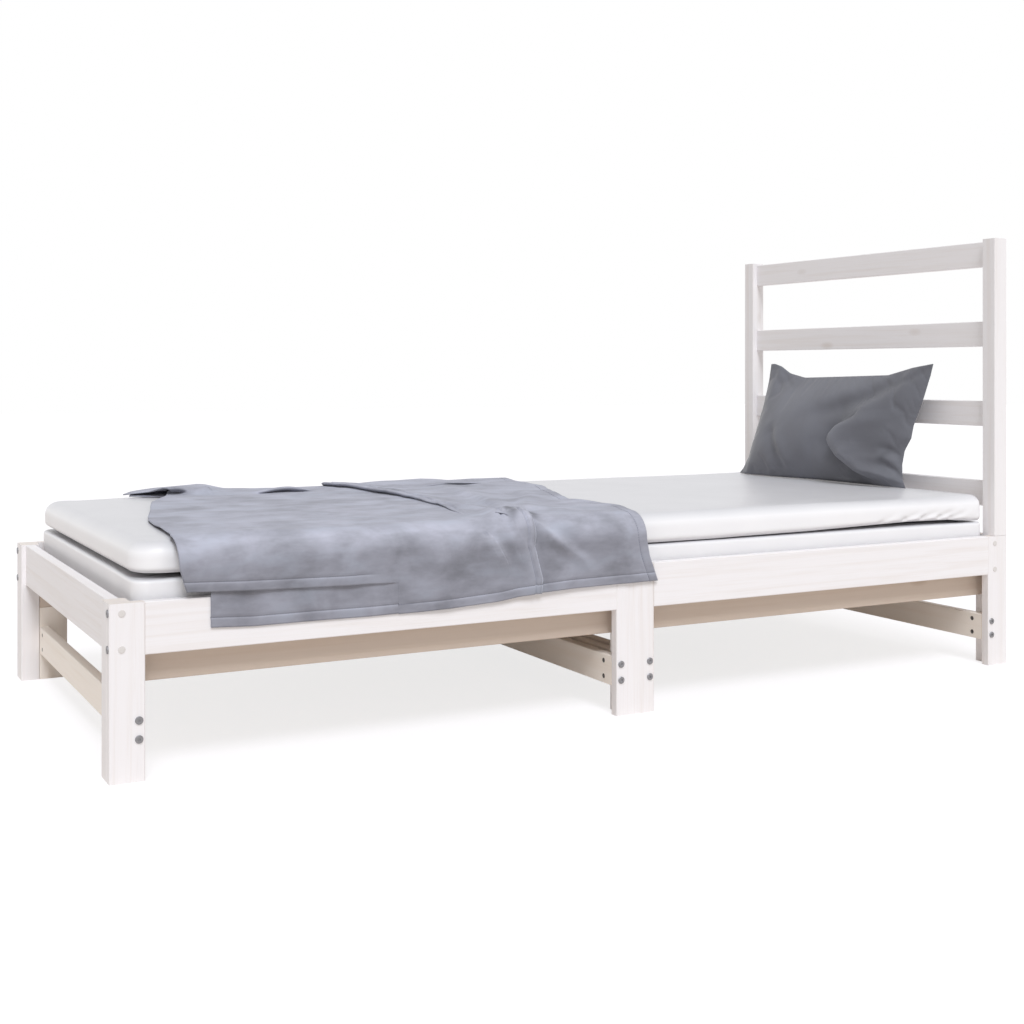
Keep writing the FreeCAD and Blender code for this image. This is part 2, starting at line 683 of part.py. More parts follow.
def throw(label):
    """A throw folded double: its hems hang at two heights, and one fold runs from back to front."""
    left = value("foot_end") + value("throw_left")
    width = value("throw_width")
    layer = value("throw_layer")
    stand = value("throw_stand") - layer - value("throw_clear")
    upper = value("throw_upper_hem")
    lower = value("throw_lower_hem")
    back_rise = value("throw_back_rise")
    fold_rise = value("throw_fold_rise")
    start = value("throw_lower_start")
    fold = value("throw_fold")
    drop = upper - lower
    slit = layer / 2
    # Each row: how far along, under hem, over hem, stand of the front, rise on top, rise at the back.
    rest = width - fold
    rows = (
        (0, upper - slit, upper + slit, stand * 0.5, 0, 0),
        (start - slit, upper - slit, upper, stand * 0.6, layer / 2, back_rise * 0.9),
        (start, lower, upper, stand * 0.6, layer / 2, back_rise),
        (fold * 0.4, lower - slit / 2, upper - slit, stand * 0.35, layer / 2, back_rise * 0.5),
        (fold * 0.7, lower, upper - slit, stand * 0.6, layer / 2, back_rise * 0.6),
        (fold - layer, lower, upper - slit, stand * 0.4, layer / 2, back_rise * 0.7),
        (fold, lower, upper - slit, stand * 0.7, fold_rise, back_rise),
        (fold + rest * 0.2, lower, upper - slit, stand, fold_rise * 1.6, back_rise),
        (fold + rest * 0.32, lower, upper - slit, stand * 0.4, fold_rise * 0.9, back_rise),
        (fold + rest * 0.5, lower + drop * 0.05, upper - slit, stand * 0.8, fold_rise, back_rise * 0.7),
        (fold + rest * 0.75, lower + drop * 0.15, upper - slit, stand * 0.3, layer / 2, layer),
        (width, lower + drop * 0.35, upper - slit, stand * 0.6, 0, 0),
    )
    sections = [throw_section(left + along, *row) for along, *row in rows]
    item = doc.addObject("Part::Feature", label)
    item.Shape = Part.makeLoft(sections, True, True)
    return node(item, label)


throw("throw")

doc.recompute()

faults = [item.Name for item in doc.Objects if {"Invalid", "Error"} & set(item.State)]
for item in nodes:
    shape = item.Shape
    if shape.isNull() or not shape.isValid() or not shape.Solids:
        faults.append(item.Label)
if faults:
    raise RuntimeError("These objects failed: " + ", ".join(faults))

os.makedirs("parts", exist_ok=True)
for item in nodes:
    item.Shape.exportStep("parts/%s.step" % item.Label)

whole = Part.makeCompound([item.Shape for item in nodes]).BoundBox
print("%d sub-parts" % len(nodes))
print("box %.1f %.1f %.1f to %.1f %.1f %.1f" % (
    whole.XMin, whole.YMin, whole.ZMin, whole.XMax, whole.YMax, whole.ZMax))
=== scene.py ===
# %% [markdown]
# This scene dresses a pull-out bench bed: two nested frames of whitewashed pine, a headboard,
# two mattresses, a pillow and a folded throw. The wooden parts come from the CAD model and
# stay where they are. Blender adds their finishes, and makes everything soft.

# %% The wooden frame, as the CAD model has it
import math

import bpy
import numpy as np
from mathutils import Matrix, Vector, noise


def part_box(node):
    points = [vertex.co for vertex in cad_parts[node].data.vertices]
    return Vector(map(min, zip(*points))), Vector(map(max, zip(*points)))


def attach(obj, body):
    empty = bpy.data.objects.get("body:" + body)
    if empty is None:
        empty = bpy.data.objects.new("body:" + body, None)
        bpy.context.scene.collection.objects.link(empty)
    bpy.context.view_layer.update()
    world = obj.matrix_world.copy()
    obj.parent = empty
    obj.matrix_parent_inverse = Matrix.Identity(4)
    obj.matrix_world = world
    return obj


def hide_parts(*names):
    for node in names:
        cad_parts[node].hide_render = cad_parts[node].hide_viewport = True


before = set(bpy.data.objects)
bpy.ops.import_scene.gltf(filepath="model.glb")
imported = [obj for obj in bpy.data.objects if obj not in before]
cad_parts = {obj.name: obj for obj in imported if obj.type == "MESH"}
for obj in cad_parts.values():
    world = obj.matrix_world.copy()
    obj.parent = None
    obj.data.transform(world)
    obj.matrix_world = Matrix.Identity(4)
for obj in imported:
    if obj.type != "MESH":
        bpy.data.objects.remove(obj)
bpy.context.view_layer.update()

MM = 0.001
scene = bpy.context.scene

# %% [markdown]
# The camera stands to the left of the bed and below eye height, and looks level. A level camera
# keeps upright posts upright, and the small vertical shift frames the bed as a tall lens would.

# %% The camera
EYE_PLACE = (-1.56473, -2.87498, 0.69831)
EYE_TURN = -0.490
SENSOR_MM = 36
LENS_MM = 49.48
FRAME_SHIFT = -0.1391

eye = bpy.data.objects.new("camera", bpy.data.cameras.new("camera"))
scene.collection.objects.link(eye)
eye.location = EYE_PLACE
eye.rotation_euler = (math.pi / 2, 0, EYE_TURN)
eye.data.sensor_width = SENSOR_MM
eye.data.lens = LENS_MM
eye.data.shift_y = FRAME_SHIFT
scene.camera = eye
print("Camera", round(eye.location.length, 2), "m from the bed's middle")

# %% [markdown]
# Nodes are the way to write light and finishes here, so one small function adds a node with
# its settings and its links. Another turns a colour from its sRGB hex code to linear light,
# which is what every colour socket expects.


# %% Two helpers for nodes and colours
def add(tree, kind, inputs=None, **settings):
    """Add a node, set its properties, and fill its inputs with values or with links."""
    made = tree.nodes.new(kind)
    for name, choice in settings.items():
        setattr(made, name, choice)
    for key, source in (inputs or {}).items():
        if isinstance(source, bpy.types.NodeSocket):
            tree.links.new(source, made.inputs[key])
        else:
            made.inputs[key].default_value = source
    return made


def colour(code):
    """The linear colour of an sRGB hex code."""
    parts = [int(code[at:at + 2], 16) / 255 for at in (1, 3, 5)]
    return [c / 12.92 if c <= 0.04045 else ((c + 0.055) / 1.055) ** 2.4 for c in parts] + [1.0]


WHITE = (1.0, 1.0, 1.0, 1.0)
print("White is", [round(c, 2) for c in colour("#ffffff")])

# %% [markdown]
# A studio for white furniture is a white room with one large soft lamp. Here the room is the
# world, at a little under half strength, so that shaded faces stay readable. The lamp is a wide
# sun from the front and a little from the foot end. It stands about halfway up, so that it
# lights the fronts well. It is a little cool, as daylight is beside the slightly warm walls of a
# room. The camera, and whatever mirrors or lets light through, sees plain white, not the room.

# %% The room
ROOM_STRENGTH = 0.47
ROOM_TINT = (1.0, 0.972, 0.94, 1.0)
room = bpy.data.worlds.new("white_room")
room.use_nodes = True
tree = room.node_tree
tree.nodes.clear()
path = add(tree, "ShaderNodeLightPath")
seen = add(tree, "ShaderNodeMath", {0: path.outputs["Is Camera Ray"],
                                    1: path.outputs["Is Glossy Ray"]}, operation="MAXIMUM")
seen = add(tree, "ShaderNodeMath", {0: seen.outputs[0],
                                    1: path.outputs["Is Transmission Ray"]}, operation="MAXIMUM")
strength = add(tree, "ShaderNodeMapRange", {"Value": seen.outputs[0], "To Min": ROOM_STRENGTH,
                                            "To Max": 1.0})
tint = add(tree, "ShaderNodeMix", {0: seen.outputs[0], 6: ROOM_TINT, 7: WHITE},
           data_type="RGBA")
light = add(tree, "ShaderNodeBackground", {"Color": tint.outputs[2],
                                           "Strength": strength.outputs["Result"]})
add(tree, "ShaderNodeOutputWorld", {"Surface": light.outputs[0]})
scene.world = room
print("Room at", ROOM_STRENGTH, "of plain white")

# %% The lamp
LAMP_STRENGTH = 1.95
LAMP_TINT = (0.955, 0.995, 1.055)
LAMP_SPREAD = math.radians(25)
TOWARD_LAMP = Vector((-0.3, -1.0, 1.35))

lamp = bpy.data.objects.new("soft_lamp", bpy.data.lights.new("soft_lamp", "SUN"))
scene.collection.objects.link(lamp)
lamp.data.energy = LAMP_STRENGTH
lamp.data.angle = LAMP_SPREAD
lamp.data.color = LAMP_TINT
lamp.rotation_euler = TOWARD_LAMP.to_track_quat("Z", "Y").to_euler()
scene.view_settings.view_transform = "Standard"
print("Lamp at", round(math.degrees(math.asin(TOWARD_LAMP.normalized().z))),
      "degrees above the floor")

# %% [markdown]
# The floor is a plain pale sheet that keeps the bed's shadow. For the camera it glows a little,
# so that its lit part meets the white of the room without an edge. Light that bounces off it
# to the bed comes from its plain matt side.

# %% The floor
FLOOR_REACH = 20.0
FLOOR_GLOW = 0.77

floor_mesh = bpy.data.meshes.new("studio_floor")
floor_mesh.from_pydata([(-FLOOR_REACH, -FLOOR_REACH, 0), (FLOOR_REACH, -FLOOR_REACH, 0),
                        (FLOOR_REACH, FLOOR_REACH, 0), (-FLOOR_REACH, FLOOR_REACH, 0)],
                       [], [(0, 1, 2, 3)])
floor = bpy.data.objects.new("studio_floor", floor_mesh)
scene.collection.objects.link(floor)
matt_white = bpy.data.materials.new("matt_studio_white")
matt_white.use_nodes = True
tree = matt_white.node_tree
tree.nodes.clear()
path = add(tree, "ShaderNodeLightPath")
bounced = add(tree, "ShaderNodeBsdfDiffuse", {"Color": colour("#f5efea")})
shadowed = add(tree, "ShaderNodeBsdfDiffuse", {"Color": colour("#979498")})
glow = add(tree, "ShaderNodeEmission", {"Color": WHITE, "Strength": FLOOR_GLOW})
camera_side = add(tree, "ShaderNodeAddShader", {0: shadowed.outputs[0], 1: glow.outputs[0]})
either = add(tree, "ShaderNodeMixShader", {0: path.outputs["Is Camera Ray"],
                                           1: bounced.outputs[0], 2: camera_side.outputs[0]})
add(tree, "ShaderNodeOutputMaterial", {"Surface": either.outputs[0]})
floor_mesh.materials.append(matt_white)
print("Floor", 2 * FLOOR_REACH, "m wide")

# %% [markdown]
# Whitewashed pine is planed softwood under a thin white oil. The wash hides most of the colour,
# and leaves faint long grain, a few small knots, and warmer end grain where the saw cut across
# the fibres. Each board's grain runs along its length, so there is one finish for each axis.
# The pattern is written in real sizes: pores about 2 mm apart and growth bands about 14 mm
# apart, both stretched along the board. The pores are drawn coarser than real ones, which
# would be too fine to see. The early wood is a little shinier than the grain lines beside it,
# which lie a touch deeper, so the light catches the board's length.

# %% The sizes of the grain
# How far the pattern's steps are apart, in millimetres, along the board and across it.
GROWTH_BANDS = (520, 14)
PORES = (90, 2.2)
WORN_WASH = (260, 70)
KNOTS = (300, 120)


def empty_finish(name):
    """A new material with an empty node tree."""
    material = bpy.data.materials.new(name)
    material.use_nodes = True
    material.node_tree.nodes.clear()
    return material, material.node_tree


print("Growth bands every", GROWTH_BANDS[1], "mm, pores every", PORES[1], "mm")


# %% Whitewashed pine
def whitewashed_pine(name, axis, wash, grain, knot, sawn):
    """Pine boards whose grain runs along one axis: wash, grain, knot and sawn are its colours."""
    material, tree = empty_finish(name)
    place = add(tree, "ShaderNodeTexCoord")

    def stretched(long_mm, wide_mm):
        """Coordinates that count in pattern steps: long ones along the grain, short ones across."""
        steps = [1000 / wide_mm] * 3
        steps[axis] = 1000 / long_mm
        return add(tree, "ShaderNodeMapping", {"Vector": place.outputs["Object"],
                                               "Scale": steps}).outputs[0]

    bands = add(tree, "ShaderNodeTexNoise", {"Vector": stretched(*GROWTH_BANDS), "Scale": 1.0,
                                             "Detail": 3.0, "Roughness": 0.45, "Distortion": 0.6})
    pores = add(tree, "ShaderNodeTexNoise", {"Vector": stretched(*PORES), "Scale": 1.0,
                                             "Detail": 3.0, "Roughness": 0.6})
    patches = add(tree, "ShaderNodeTexNoise", {"Vector": stretched(*WORN_WASH), "Scale": 1.0,
                                               "Detail": 2.0})
    late_wood = add(tree, "ShaderNodeMapRange", {"Value": bands.outputs["Fac"], "From Min": 0.47,
                                                 "From Max": 0.66, "To Max": 0.36})
    pore_lines = add(tree, "ShaderNodeMapRange", {"Value": pores.outputs["Fac"], "From Min": 0.5,
                                                  "From Max": 0.78, "To Max": 0.3})
    thin_wash = add(tree, "ShaderNodeMapRange", {"Value": patches.outputs["Fac"], "From Min": 0.4,
                                                 "From Max": 0.75, "To Min": 0.55, "To Max": 1.0})
    lines = add(tree, "ShaderNodeMath", {0: late_wood.outputs[0], 1: pore_lines.outputs[0]},
                operation="ADD")
    lines = add(tree, "ShaderNodeMath", {0: lines.outputs[0], 1: thin_wash.outputs[0]},
                operation="MULTIPLY")
    face = add(tree, "ShaderNodeMix", {0: lines.outputs[0], 6: colour(wash), 7: colour(grain)},
               data_type="RGBA")
    cells = add(tree, "ShaderNodeTexVoronoi", {"Vector": stretched(*KNOTS), "Scale": 1.0})
    knots = add(tree, "ShaderNodeMapRange", {"Value": cells.outputs["Distance"], "From Min": 0.05,
                                             "From Max": 0.11, "To Min": 0.4, "To Max": 0.0})
    face = add(tree, "ShaderNodeMix", {0: knots.outputs[0], 6: face.outputs[2], 7: colour(knot)},
               data_type="RGBA")
    sides = add(tree, "ShaderNodeSeparateXYZ", {0: place.outputs["Normal"]})
    end = add(tree, "ShaderNodeMath", {0: sides.outputs[axis]}, operation="ABSOLUTE")
    end = add(tree, "ShaderNodeMapRange", {"Value": end.outputs[0], "From Min": 0.8,
                                           "From Max": 0.95, "To Max": 0.7})
    face = add(tree, "ShaderNodeMix", {0: end.outputs[0], 6: face.outputs[2], 7: colour(sawn)},
               data_type="RGBA")
    shine = add(tree, "ShaderNodeMapRange", {"Value": lines.outputs[0], "To Min": 0.5,
                                             "To Max": 0.64})
    relief = add(tree, "ShaderNodeBump", {"Strength": 0.35, "Distance": 0.0005,
                                          "Height": lines.outputs[0]}, invert=True)
    wood = add(tree, "ShaderNodeBsdfPrincipled", {"Base Color": face.outputs[2],
                                                  "Roughness": shine.outputs[0],
                                                  "IOR": 1.45, "Normal": relief.outputs[0]})
    add(tree, "ShaderNodeOutputMaterial", {"Surface": wood.outputs[0]})
    return material


# %% Three washes of pine
# Each has its wash, grain, knots and sawn ends. The outer boards have the full wash. The cross
# rails have a thinner, warmer one, painted lighter as painted light on their shaded faces under
# the bed. The boards hidden behind the rails have the thinnest, painted darker as painted shade.
OUTER = ("#f4f1f2", "#e4dbd5", "#cbbeb4", "#e3d8ce")
CROSSWAYS_PAINTED_LIGHT = ("#fbf3ea", "#f0e2d3", "#cfbaa6", "#e6d8c9")
INNER_PAINTED_SHADE = ("#d3c3b5", "#c6b19e", "#ab937d", "#c4b09c")
outer_pine, crossways_pine_painted_light, inner_pine_painted_shade = (
    [whitewashed_pine(wash + "_pine_along_" + "xyz"[axis], axis, *colours) for axis in range(3)]
    for wash, colours in (("whitewashed", OUTER), ("lightly_washed", CROSSWAYS_PAINTED_LIGHT),
                          ("thinly_washed", INNER_PAINTED_SHADE)))
print("Pine finishes:", len(outer_pine) + len(crossways_pine_painted_light) + len(inner_pine_painted_shade))

# %% [markdown]
# The pine boards get their finish by the way they lie: a board's longest side is its grain.
# They could be named one by one, but their names already say what they are. Slats, battens and
# the other parts that nobody sees from the front take the wash painted darker as painted shade,
# and the cross rails with their inner legs, half in view, take the wash painted lighter as
# painted light.

# %% The pine goes on the boards
CROSSWAYS_WORDS = ("cross_rail", "inner_leg")
INNER_WORDS = ("batten", "slats", "inner", "support")
SMALL_PARTS = ("bolts", "nuts", "plugs", "dowels", "mattress", "pillow", "throw")
boards = 0
for name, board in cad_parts.items():
    if any(word in name for word in SMALL_PARTS):
        continue
    low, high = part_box(name)
    size = high - low
    axis = 1 if "slats" in name else max(range(3), key=lambda side: size[side])
    # Boards behind the rails get the wash painted darker as painted shade, and the cross rails the
    # one painted lighter as painted light.
    pine = inner_pine_painted_shade if any(word in name for word in INNER_WORDS) else outer_pine
    if any(word in name for word in CROSSWAYS_WORDS):
        pine = crossways_pine_painted_light
    if name.startswith("headboard"):
        pine = outer_pine
    for held in board.material_slots:
        held.material = pine[axis]
    boards += 1
print("Boards finished:", boards)

# %% [markdown]
# The dowels under the headboard are turned beech, a hard wood that takes glue well. They are
# hidden in their holes, so a plain close-grained finish with short flecks is enough.

# %% Beech dowels
beech, tree = empty_finish("turned_beech")
place = add(tree, "ShaderNodeTexCoord")
fibres = add(tree, "ShaderNodeMapping", {"Vector": place.outputs["Object"],
                                         "Scale": (700, 700, 60)})
flecks = add(tree, "ShaderNodeTexNoise", {"Vector": fibres.outputs[0], "Scale": 1.0, "Detail": 2.0})
tone = add(tree, "ShaderNodeMix", {0: flecks.outputs["Fac"], 6: colour("#d9b48a"),
                                   7: colour("#c39a6c")}, data_type="RGBA")
wood = add(tree, "ShaderNodeBsdfPrincipled", {"Base Color": tone.outputs[2], "Roughness": 0.55})
add(tree, "ShaderNodeOutputMaterial", {"Surface": wood.outputs[0]})
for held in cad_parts["headboard_dowels"].material_slots:
    held.material = beech
print("Dowels in", beech.name)

# %% [markdown]
# The bed is bolted together. Flat-headed bolts with a hexagonal socket go through the legs into
# steel cross nuts, and white caps cover two fixings on the front. Zinc-plated steel looks grey
# and slightly rough. It could be modelled bolt by bolt, but they are all alike, so each kind is
# turned once, and Geometry Nodes set it wherever the frame has one.


# %% Zinc-plated steel and white caps
FLECK_SHINE = 0.08


def speckled_finish(name, base, fleck, fleck_mm, metallic, roughness, relief_mm):
    """A hard surface with fine flecks in its colour, shine and relief."""
    material, tree = empty_finish(name)
    place = add(tree, "ShaderNodeTexCoord")
    flecks = add(tree, "ShaderNodeTexNoise", {"Vector": place.outputs["Object"],
                                              "Scale": 1000 / fleck_mm, "Detail": 4.0})
    tone = add(tree, "ShaderNodeMix", {0: flecks.outputs["Fac"], 6: colour(base),
                                       7: colour(fleck)}, data_type="RGBA")
    shine = add(tree, "ShaderNodeMapRange", {"Value": flecks.outputs["Fac"],
                                             "To Min": roughness - FLECK_SHINE,
                                             "To Max": roughness + FLECK_SHINE})
    relief = add(tree, "ShaderNodeBump", {"Strength": 0.3, "Distance": relief_mm * MM,
                                          "Height": flecks.outputs["Fac"]})
    solid = add(tree, "ShaderNodeBsdfPrincipled", {"Base Color": tone.outputs[2],
                                                   "Metallic": metallic,
                                                   "Roughness": shine.outputs[0],
                                                   "Normal": relief.outputs[0]})
    add(tree, "ShaderNodeOutputMaterial", {"Surface": solid.outputs[0]})
    return material


zinc = speckled_finish("zinc_plated_steel", "#8e8e92", "#a3a3a6", 1.5, 1.0, 0.42, 0.05)
dark_zinc = speckled_finish("oiled_zinc_steel", "#5f5d5c", "#74716f", 1.5, 1.0, 0.5, 0.05)
cap_plastic = speckled_finish("moulded_white_plastic", "#e4e0de", "#d6d1cd", 2.0, 0.0, 0.38, 0.05)
print("Steel and plastic:", zinc.name, dark_zinc.name, cap_plastic.name)

# %% [markdown]
# A bolt, a nut and a cap are round, so each is a profile turned about its axis, as on a lathe.
# Some rings of the bolt are pulled to a hexagon, which makes its socket. It could be cut with a
# Boolean, but rings keep the mesh clean and closed.


# %% Turning a profile
def turned(name, profile, sides, hexagon=()):
    """Turn a profile of (radius, height) round Z. The rings named in hexagon get six flats."""
    rings = []
    points = []
    for number, (radius, height) in enumerate(profile):
        if radius == 0:
            rings.append([len(points)] * sides)
            points.append((0, 0, height * MM))
            continue
        rings.append(list(range(len(points), len(points) + sides)))
        for side in range(sides):
            turn = 2 * math.pi * side / sides
            reach = radius
            if number in hexagon:
                reach *= math.cos(math.pi / 6) / math.cos((turn % (math.pi / 3)) - math.pi / 6)
            points.append((reach * MM * math.cos(turn), reach * MM * math.sin(turn), height * MM))
    faces = []
    for lower, upper in zip(rings, rings[1:]):
        for side in range(sides):
            ahead = (side + 1) % sides
            corners = [lower[side], lower[ahead], upper[ahead], upper[side]]
            faces.append(list(dict.fromkeys(corners)))
    mesh = bpy.data.meshes.new(name)
    mesh.from_pydata(points, [], faces)
    mesh.update()
    return bpy.data.objects.new(name, mesh)


# %% One bolt, one cross nut and one cap
# Heights count from the wood's face, outwards. The shank lies in the wood.
bolt_pattern = turned("bolt_pattern", [(0, -60), (2.6, -60), (3, -59), (3, 0), (7, 0), (7, 1.5),
                                       (6.5, 2), (2.6, 2), (2.4, 1.8), (2.4, 0.3), (0, 0.3)],
                      24, hexagon=(7, 8, 9))
nut_pattern = turned("cross_nut_pattern", [(0, -20.6), (4.6, -20.6), (5, -20.2), (5, -0.8),
                                           (4.6, -0.4), (2.4, -0.4), (1.6, -1.6), (0, -1.6)], 18)
cap_pattern = turned("cap_pattern", [(0, -3.9), (6.2, -3.9), (6.4, -3.6), (6.4, 0.1),
                                     (5.9, 1.0), (3.6, 1.2), (0, 1.25)], 24)
for pattern in (bolt_pattern, nut_pattern, cap_pattern):
    print(pattern.name, len(pattern.data.polygons), "faces")

# %% [markdown]
# The node tree takes a mesh of loose points, one for each fixing, with the direction in which
# its head looks. It sets the pattern on each point, turns it that way, spins it at random by up
# to a quarter turn, as a hand-driven bolt stops, and gives all of them their finish.


# %% Two helpers for geometry node trees
def new_tree(name, sockets):
    """A geometry node tree with named inputs: each has a socket type and a first value."""
    tree = bpy.data.node_groups.new(name, "GeometryNodeTree")
    tree.interface.new_socket("Geometry", in_out="INPUT", socket_type="NodeSocketGeometry")
    for label, (kind, first) in sockets.items():
        socket = tree.interface.new_socket(label, in_out="INPUT", socket_type=kind)
        if first is not None:
            socket.default_value = first
    tree.interface.new_socket("Geometry", in_out="OUTPUT", socket_type="NodeSocketGeometry")
    return tree, add(tree, "NodeGroupInput")


def identifier(tree, label):
    """The identifier of a named input."""
    for socket in tree.interface.items_tree:
        if socket.name == label and socket.in_out == "INPUT":
            return socket.identifier
    raise KeyError(label)


print("Helpers for trees ready")

# %% A node tree that drives fixings into the frame
FIXING_SEED = 7
fixing_tree, given = new_tree("set_fixings", {
    "Pattern": ("NodeSocketObject", None),
    "Finish": ("NodeSocketMaterial", None),
    "Size": ("NodeSocketFloat", 1.0),
    "Seed": ("NodeSocketInt", FIXING_SEED),
})
pattern = add(fixing_tree, "GeometryNodeObjectInfo", {"Object": given.outputs["Pattern"]})
looks = add(fixing_tree, "GeometryNodeInputNamedAttribute", {"Name": "looks"},
            data_type="FLOAT_VECTOR")
aimed = add(fixing_tree, "FunctionNodeAlignRotationToVector",
            {"Vector": looks.outputs["Attribute"]}, axis="Z")
spin = add(fixing_tree, "FunctionNodeRandomValue", {2: 0.0, 3: math.pi / 2,
                                                    "Seed": given.outputs["Seed"]},
           data_type="FLOAT")
spun = add(fixing_tree, "FunctionNodeRotateRotation",
           {"Rotation": aimed.outputs[0]}, rotation_space="LOCAL")
about = add(fixing_tree, "FunctionNodeAxisAngleToRotation", {"Axis": (0, 0, 1),
                                                             "Angle": spin.outputs[1]})
fixing_tree.links.new(about.outputs[0], spun.inputs["Rotate By"])
placed = add(fixing_tree, "GeometryNodeInstanceOnPoints", {
    "Points": given.outputs["Geometry"], "Instance": pattern.outputs["Geometry"],
    "Rotation": spun.outputs[0], "Scale": given.outputs["Size"]})
real = add(fixing_tree, "GeometryNodeRealizeInstances", {0: placed.outputs[0]})
done = add(fixing_tree, "GeometryNodeSetMaterial", {"Geometry": real.outputs[0],
                                                    "Material": given.outputs["Finish"]})
add(fixing_tree, "NodeGroupOutput", {0: done.outputs[0]})
print("Tree", fixing_tree.name, "has", len(fixing_tree.nodes), "nodes")

# %% [markdown]
# A tree runs on a carrier object. Its result is copied to a plain mesh, and the carrier goes,
# so that nothing in the finished bed depends on a modifier.


# %% Running a tree and keeping the mesh that it makes
def grown(name, source, tree, choices):
    """Run a geometry node tree on a mesh, and return the result as a plain object."""
    carrier = bpy.data.objects.new(name + "_source", source)
    scene.collection.objects.link(carrier)
    run = carrier.modifiers.new("grow", "NODES")
    run.node_group = tree
    for label, choice in choices.items():
        run[identifier(tree, label)] = choice
    bpy.context.view_layer.update()
    mesh = bpy.data.meshes.new_from_object(
        carrier.evaluated_get(bpy.context.evaluated_depsgraph_get()))
    carrier.modifiers.remove(run)
    bpy.data.objects.remove(carrier)
    piece = bpy.data.objects.new(name, mesh)
    mesh.name = name
    scene.collection.objects.link(piece)
    return piece


print("Trees can run")


# %% Setting one kind of fixing
def fixings(name, pattern, finish, places, body, node):
    """Set one pattern at each place, a point and the direction it looks, on one body."""
    spots = bpy.data.meshes.new(name + "_spots")
    spots.from_pydata([point for point, _ in places], [], [])
    looks = spots.attributes.new("looks", "FLOAT_VECTOR", "POINT")
    looks.data.foreach_set("vector", [value for _, way in places for value in way])
    piece = grown(name, spots, fixing_tree, {"Pattern": pattern, "Finish": finish, "Size": 1.0,
                                             "Seed": FIXING_SEED})
    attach(piece, body)
    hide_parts(node)
    print(name, len(places), "pieces,", len(piece.data.polygons), "faces")


print("Fixings can be set")

# %% [markdown]
# The fixings sit where the CAD model has them. Two bolts, one above the other, go through each
# leg into each cross rail, where a cross nut holds them. At the bed's ends, bolts go along the
# rails. Most places are read from the boards, and only the levels are numbers.

# %% Where the bolts, nuts and caps are
LOWER_BOLTS = (0.072, 0.104)
UPPER_BOLTS = (0.226, 0.287)
NUT_INSET = 0.030
CAP_FROM_FOOT = 0.021
CAP_FROM_HEAD = 0.039
RAILS = ("cross_rail_foot", "cross_rail_middle_left", "cross_rail_middle_right",
         "cross_rail_head")
front_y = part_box("front_leg_foot")[0].y
rear_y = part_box("rear_leg_foot")[1].y
foot_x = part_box("front_leg_foot")[0].x
head_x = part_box("front_leg_head")[1].x
front_board_y = (front_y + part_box("front_leg_foot")[1].y) / 2
rear_board_y = (rear_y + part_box("rear_leg_foot")[0].y) / 2
pull_out_bolts = []
nuts = []
for rail in RAILS:
    low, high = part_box(rail)
    middle = (low.x + high.x) / 2
    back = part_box("inner_leg_foot")[1].y
    for level in LOWER_BOLTS:
        pull_out_bolts.append(((middle, front_y, level), (0, -1, 0)))
        pull_out_bolts.append(((middle, back, level), (0, 1, 0)))
        for seat in (low.y + NUT_INSET, high.y - NUT_INSET):
            nuts.append(((low.x, seat, level), (-1, 0, 0)))
wall_bolts = [((0, rear_y, level), (0, 1, 0)) for level in LOWER_BOLTS]
for level in UPPER_BOLTS:
    pull_out_bolts += [((foot_x, front_board_y, level), (-1, 0, 0)),
                       ((head_x, front_board_y, level), (1, 0, 0))]
    wall_bolts += [((foot_x, rear_board_y, level), (-1, 0, 0)),
                   ((head_x, rear_board_y, level), (1, 0, 0))]
caps = [((x, front_y, level), (0, -1, 0)) for level in UPPER_BOLTS
        for x in (foot_x + CAP_FROM_FOOT, head_x - CAP_FROM_HEAD)]
print("Bolts", len(pull_out_bolts) + len(wall_bolts), "nuts", len(nuts), "caps", len(caps))

# %% Setting the bolts, nuts and caps
fixings("pull_out_bolts_steel", bolt_pattern, zinc, pull_out_bolts, "pull_out_frame",
        "pull_out_frame_bolts")
fixings("wall_bolts_steel", bolt_pattern, zinc, wall_bolts, "wall_frame", "wall_frame_bolts")
fixings("cross_nuts_steel", nut_pattern, dark_zinc, nuts, "pull_out_frame", "cross_nuts")
fixings("front_caps_white", cap_pattern, cap_plastic, caps, "pull_out_frame", "front_plugs")
for pattern in (bolt_pattern, nut_pattern, cap_pattern):
    bpy.data.objects.remove(pattern)

# %% [markdown]
# Everything soft starts as a net of points on a form: rows and columns that follow the piece.
# It could be sculpted by hand, but a net made from numbers gives the same shape each time.
# These helpers turn such a net into a mesh, read and write its points as one array, and bake
# its modifiers.


# %% Points in and out of a mesh
def mesh_object(name, points, faces):
    """An object at the origin whose points, in millimetres, are given as rows of x, y, z."""
    mesh = bpy.data.meshes.new(name)
    mesh.from_pydata((np.asarray(points) * MM).tolist(), [], faces)
    mesh.update()
    mesh.polygons.foreach_set("use_smooth", [True] * len(mesh.polygons))
    piece = bpy.data.objects.new(name, mesh)
    scene.collection.objects.link(piece)
    return piece


def read_points(mesh):
    """A mesh's points in millimetres."""
    flat = np.empty(len(mesh.vertices) * 3)
    mesh.vertices.foreach_get("co", flat)
    return flat.reshape(-1, 3) / MM


def write_points(mesh, points):
    """Put a mesh's points, in millimetres, back."""
    mesh.vertices.foreach_set("co", (points * MM).ravel())
    mesh.update()


def plain_mesh(piece):
    """Apply an object's modifiers, so that its mesh is what is seen."""
    mesh = bpy.data.meshes.new_from_object(
        piece.evaluated_get(bpy.context.evaluated_depsgraph_get()))
    piece.modifiers.clear()
    old = piece.data
    piece.data = mesh
    bpy.data.meshes.remove(old)
    mesh.name = piece.name


print("Meshes can be read and written")

# %% [markdown]
# A fold in cloth is a line on the surface with a height at each of its points, which fades to
# both sides. Adding such lines up gives every crease, wrinkle and swell here. The fades are
# smooth, so that no edge shows where a fold ends.


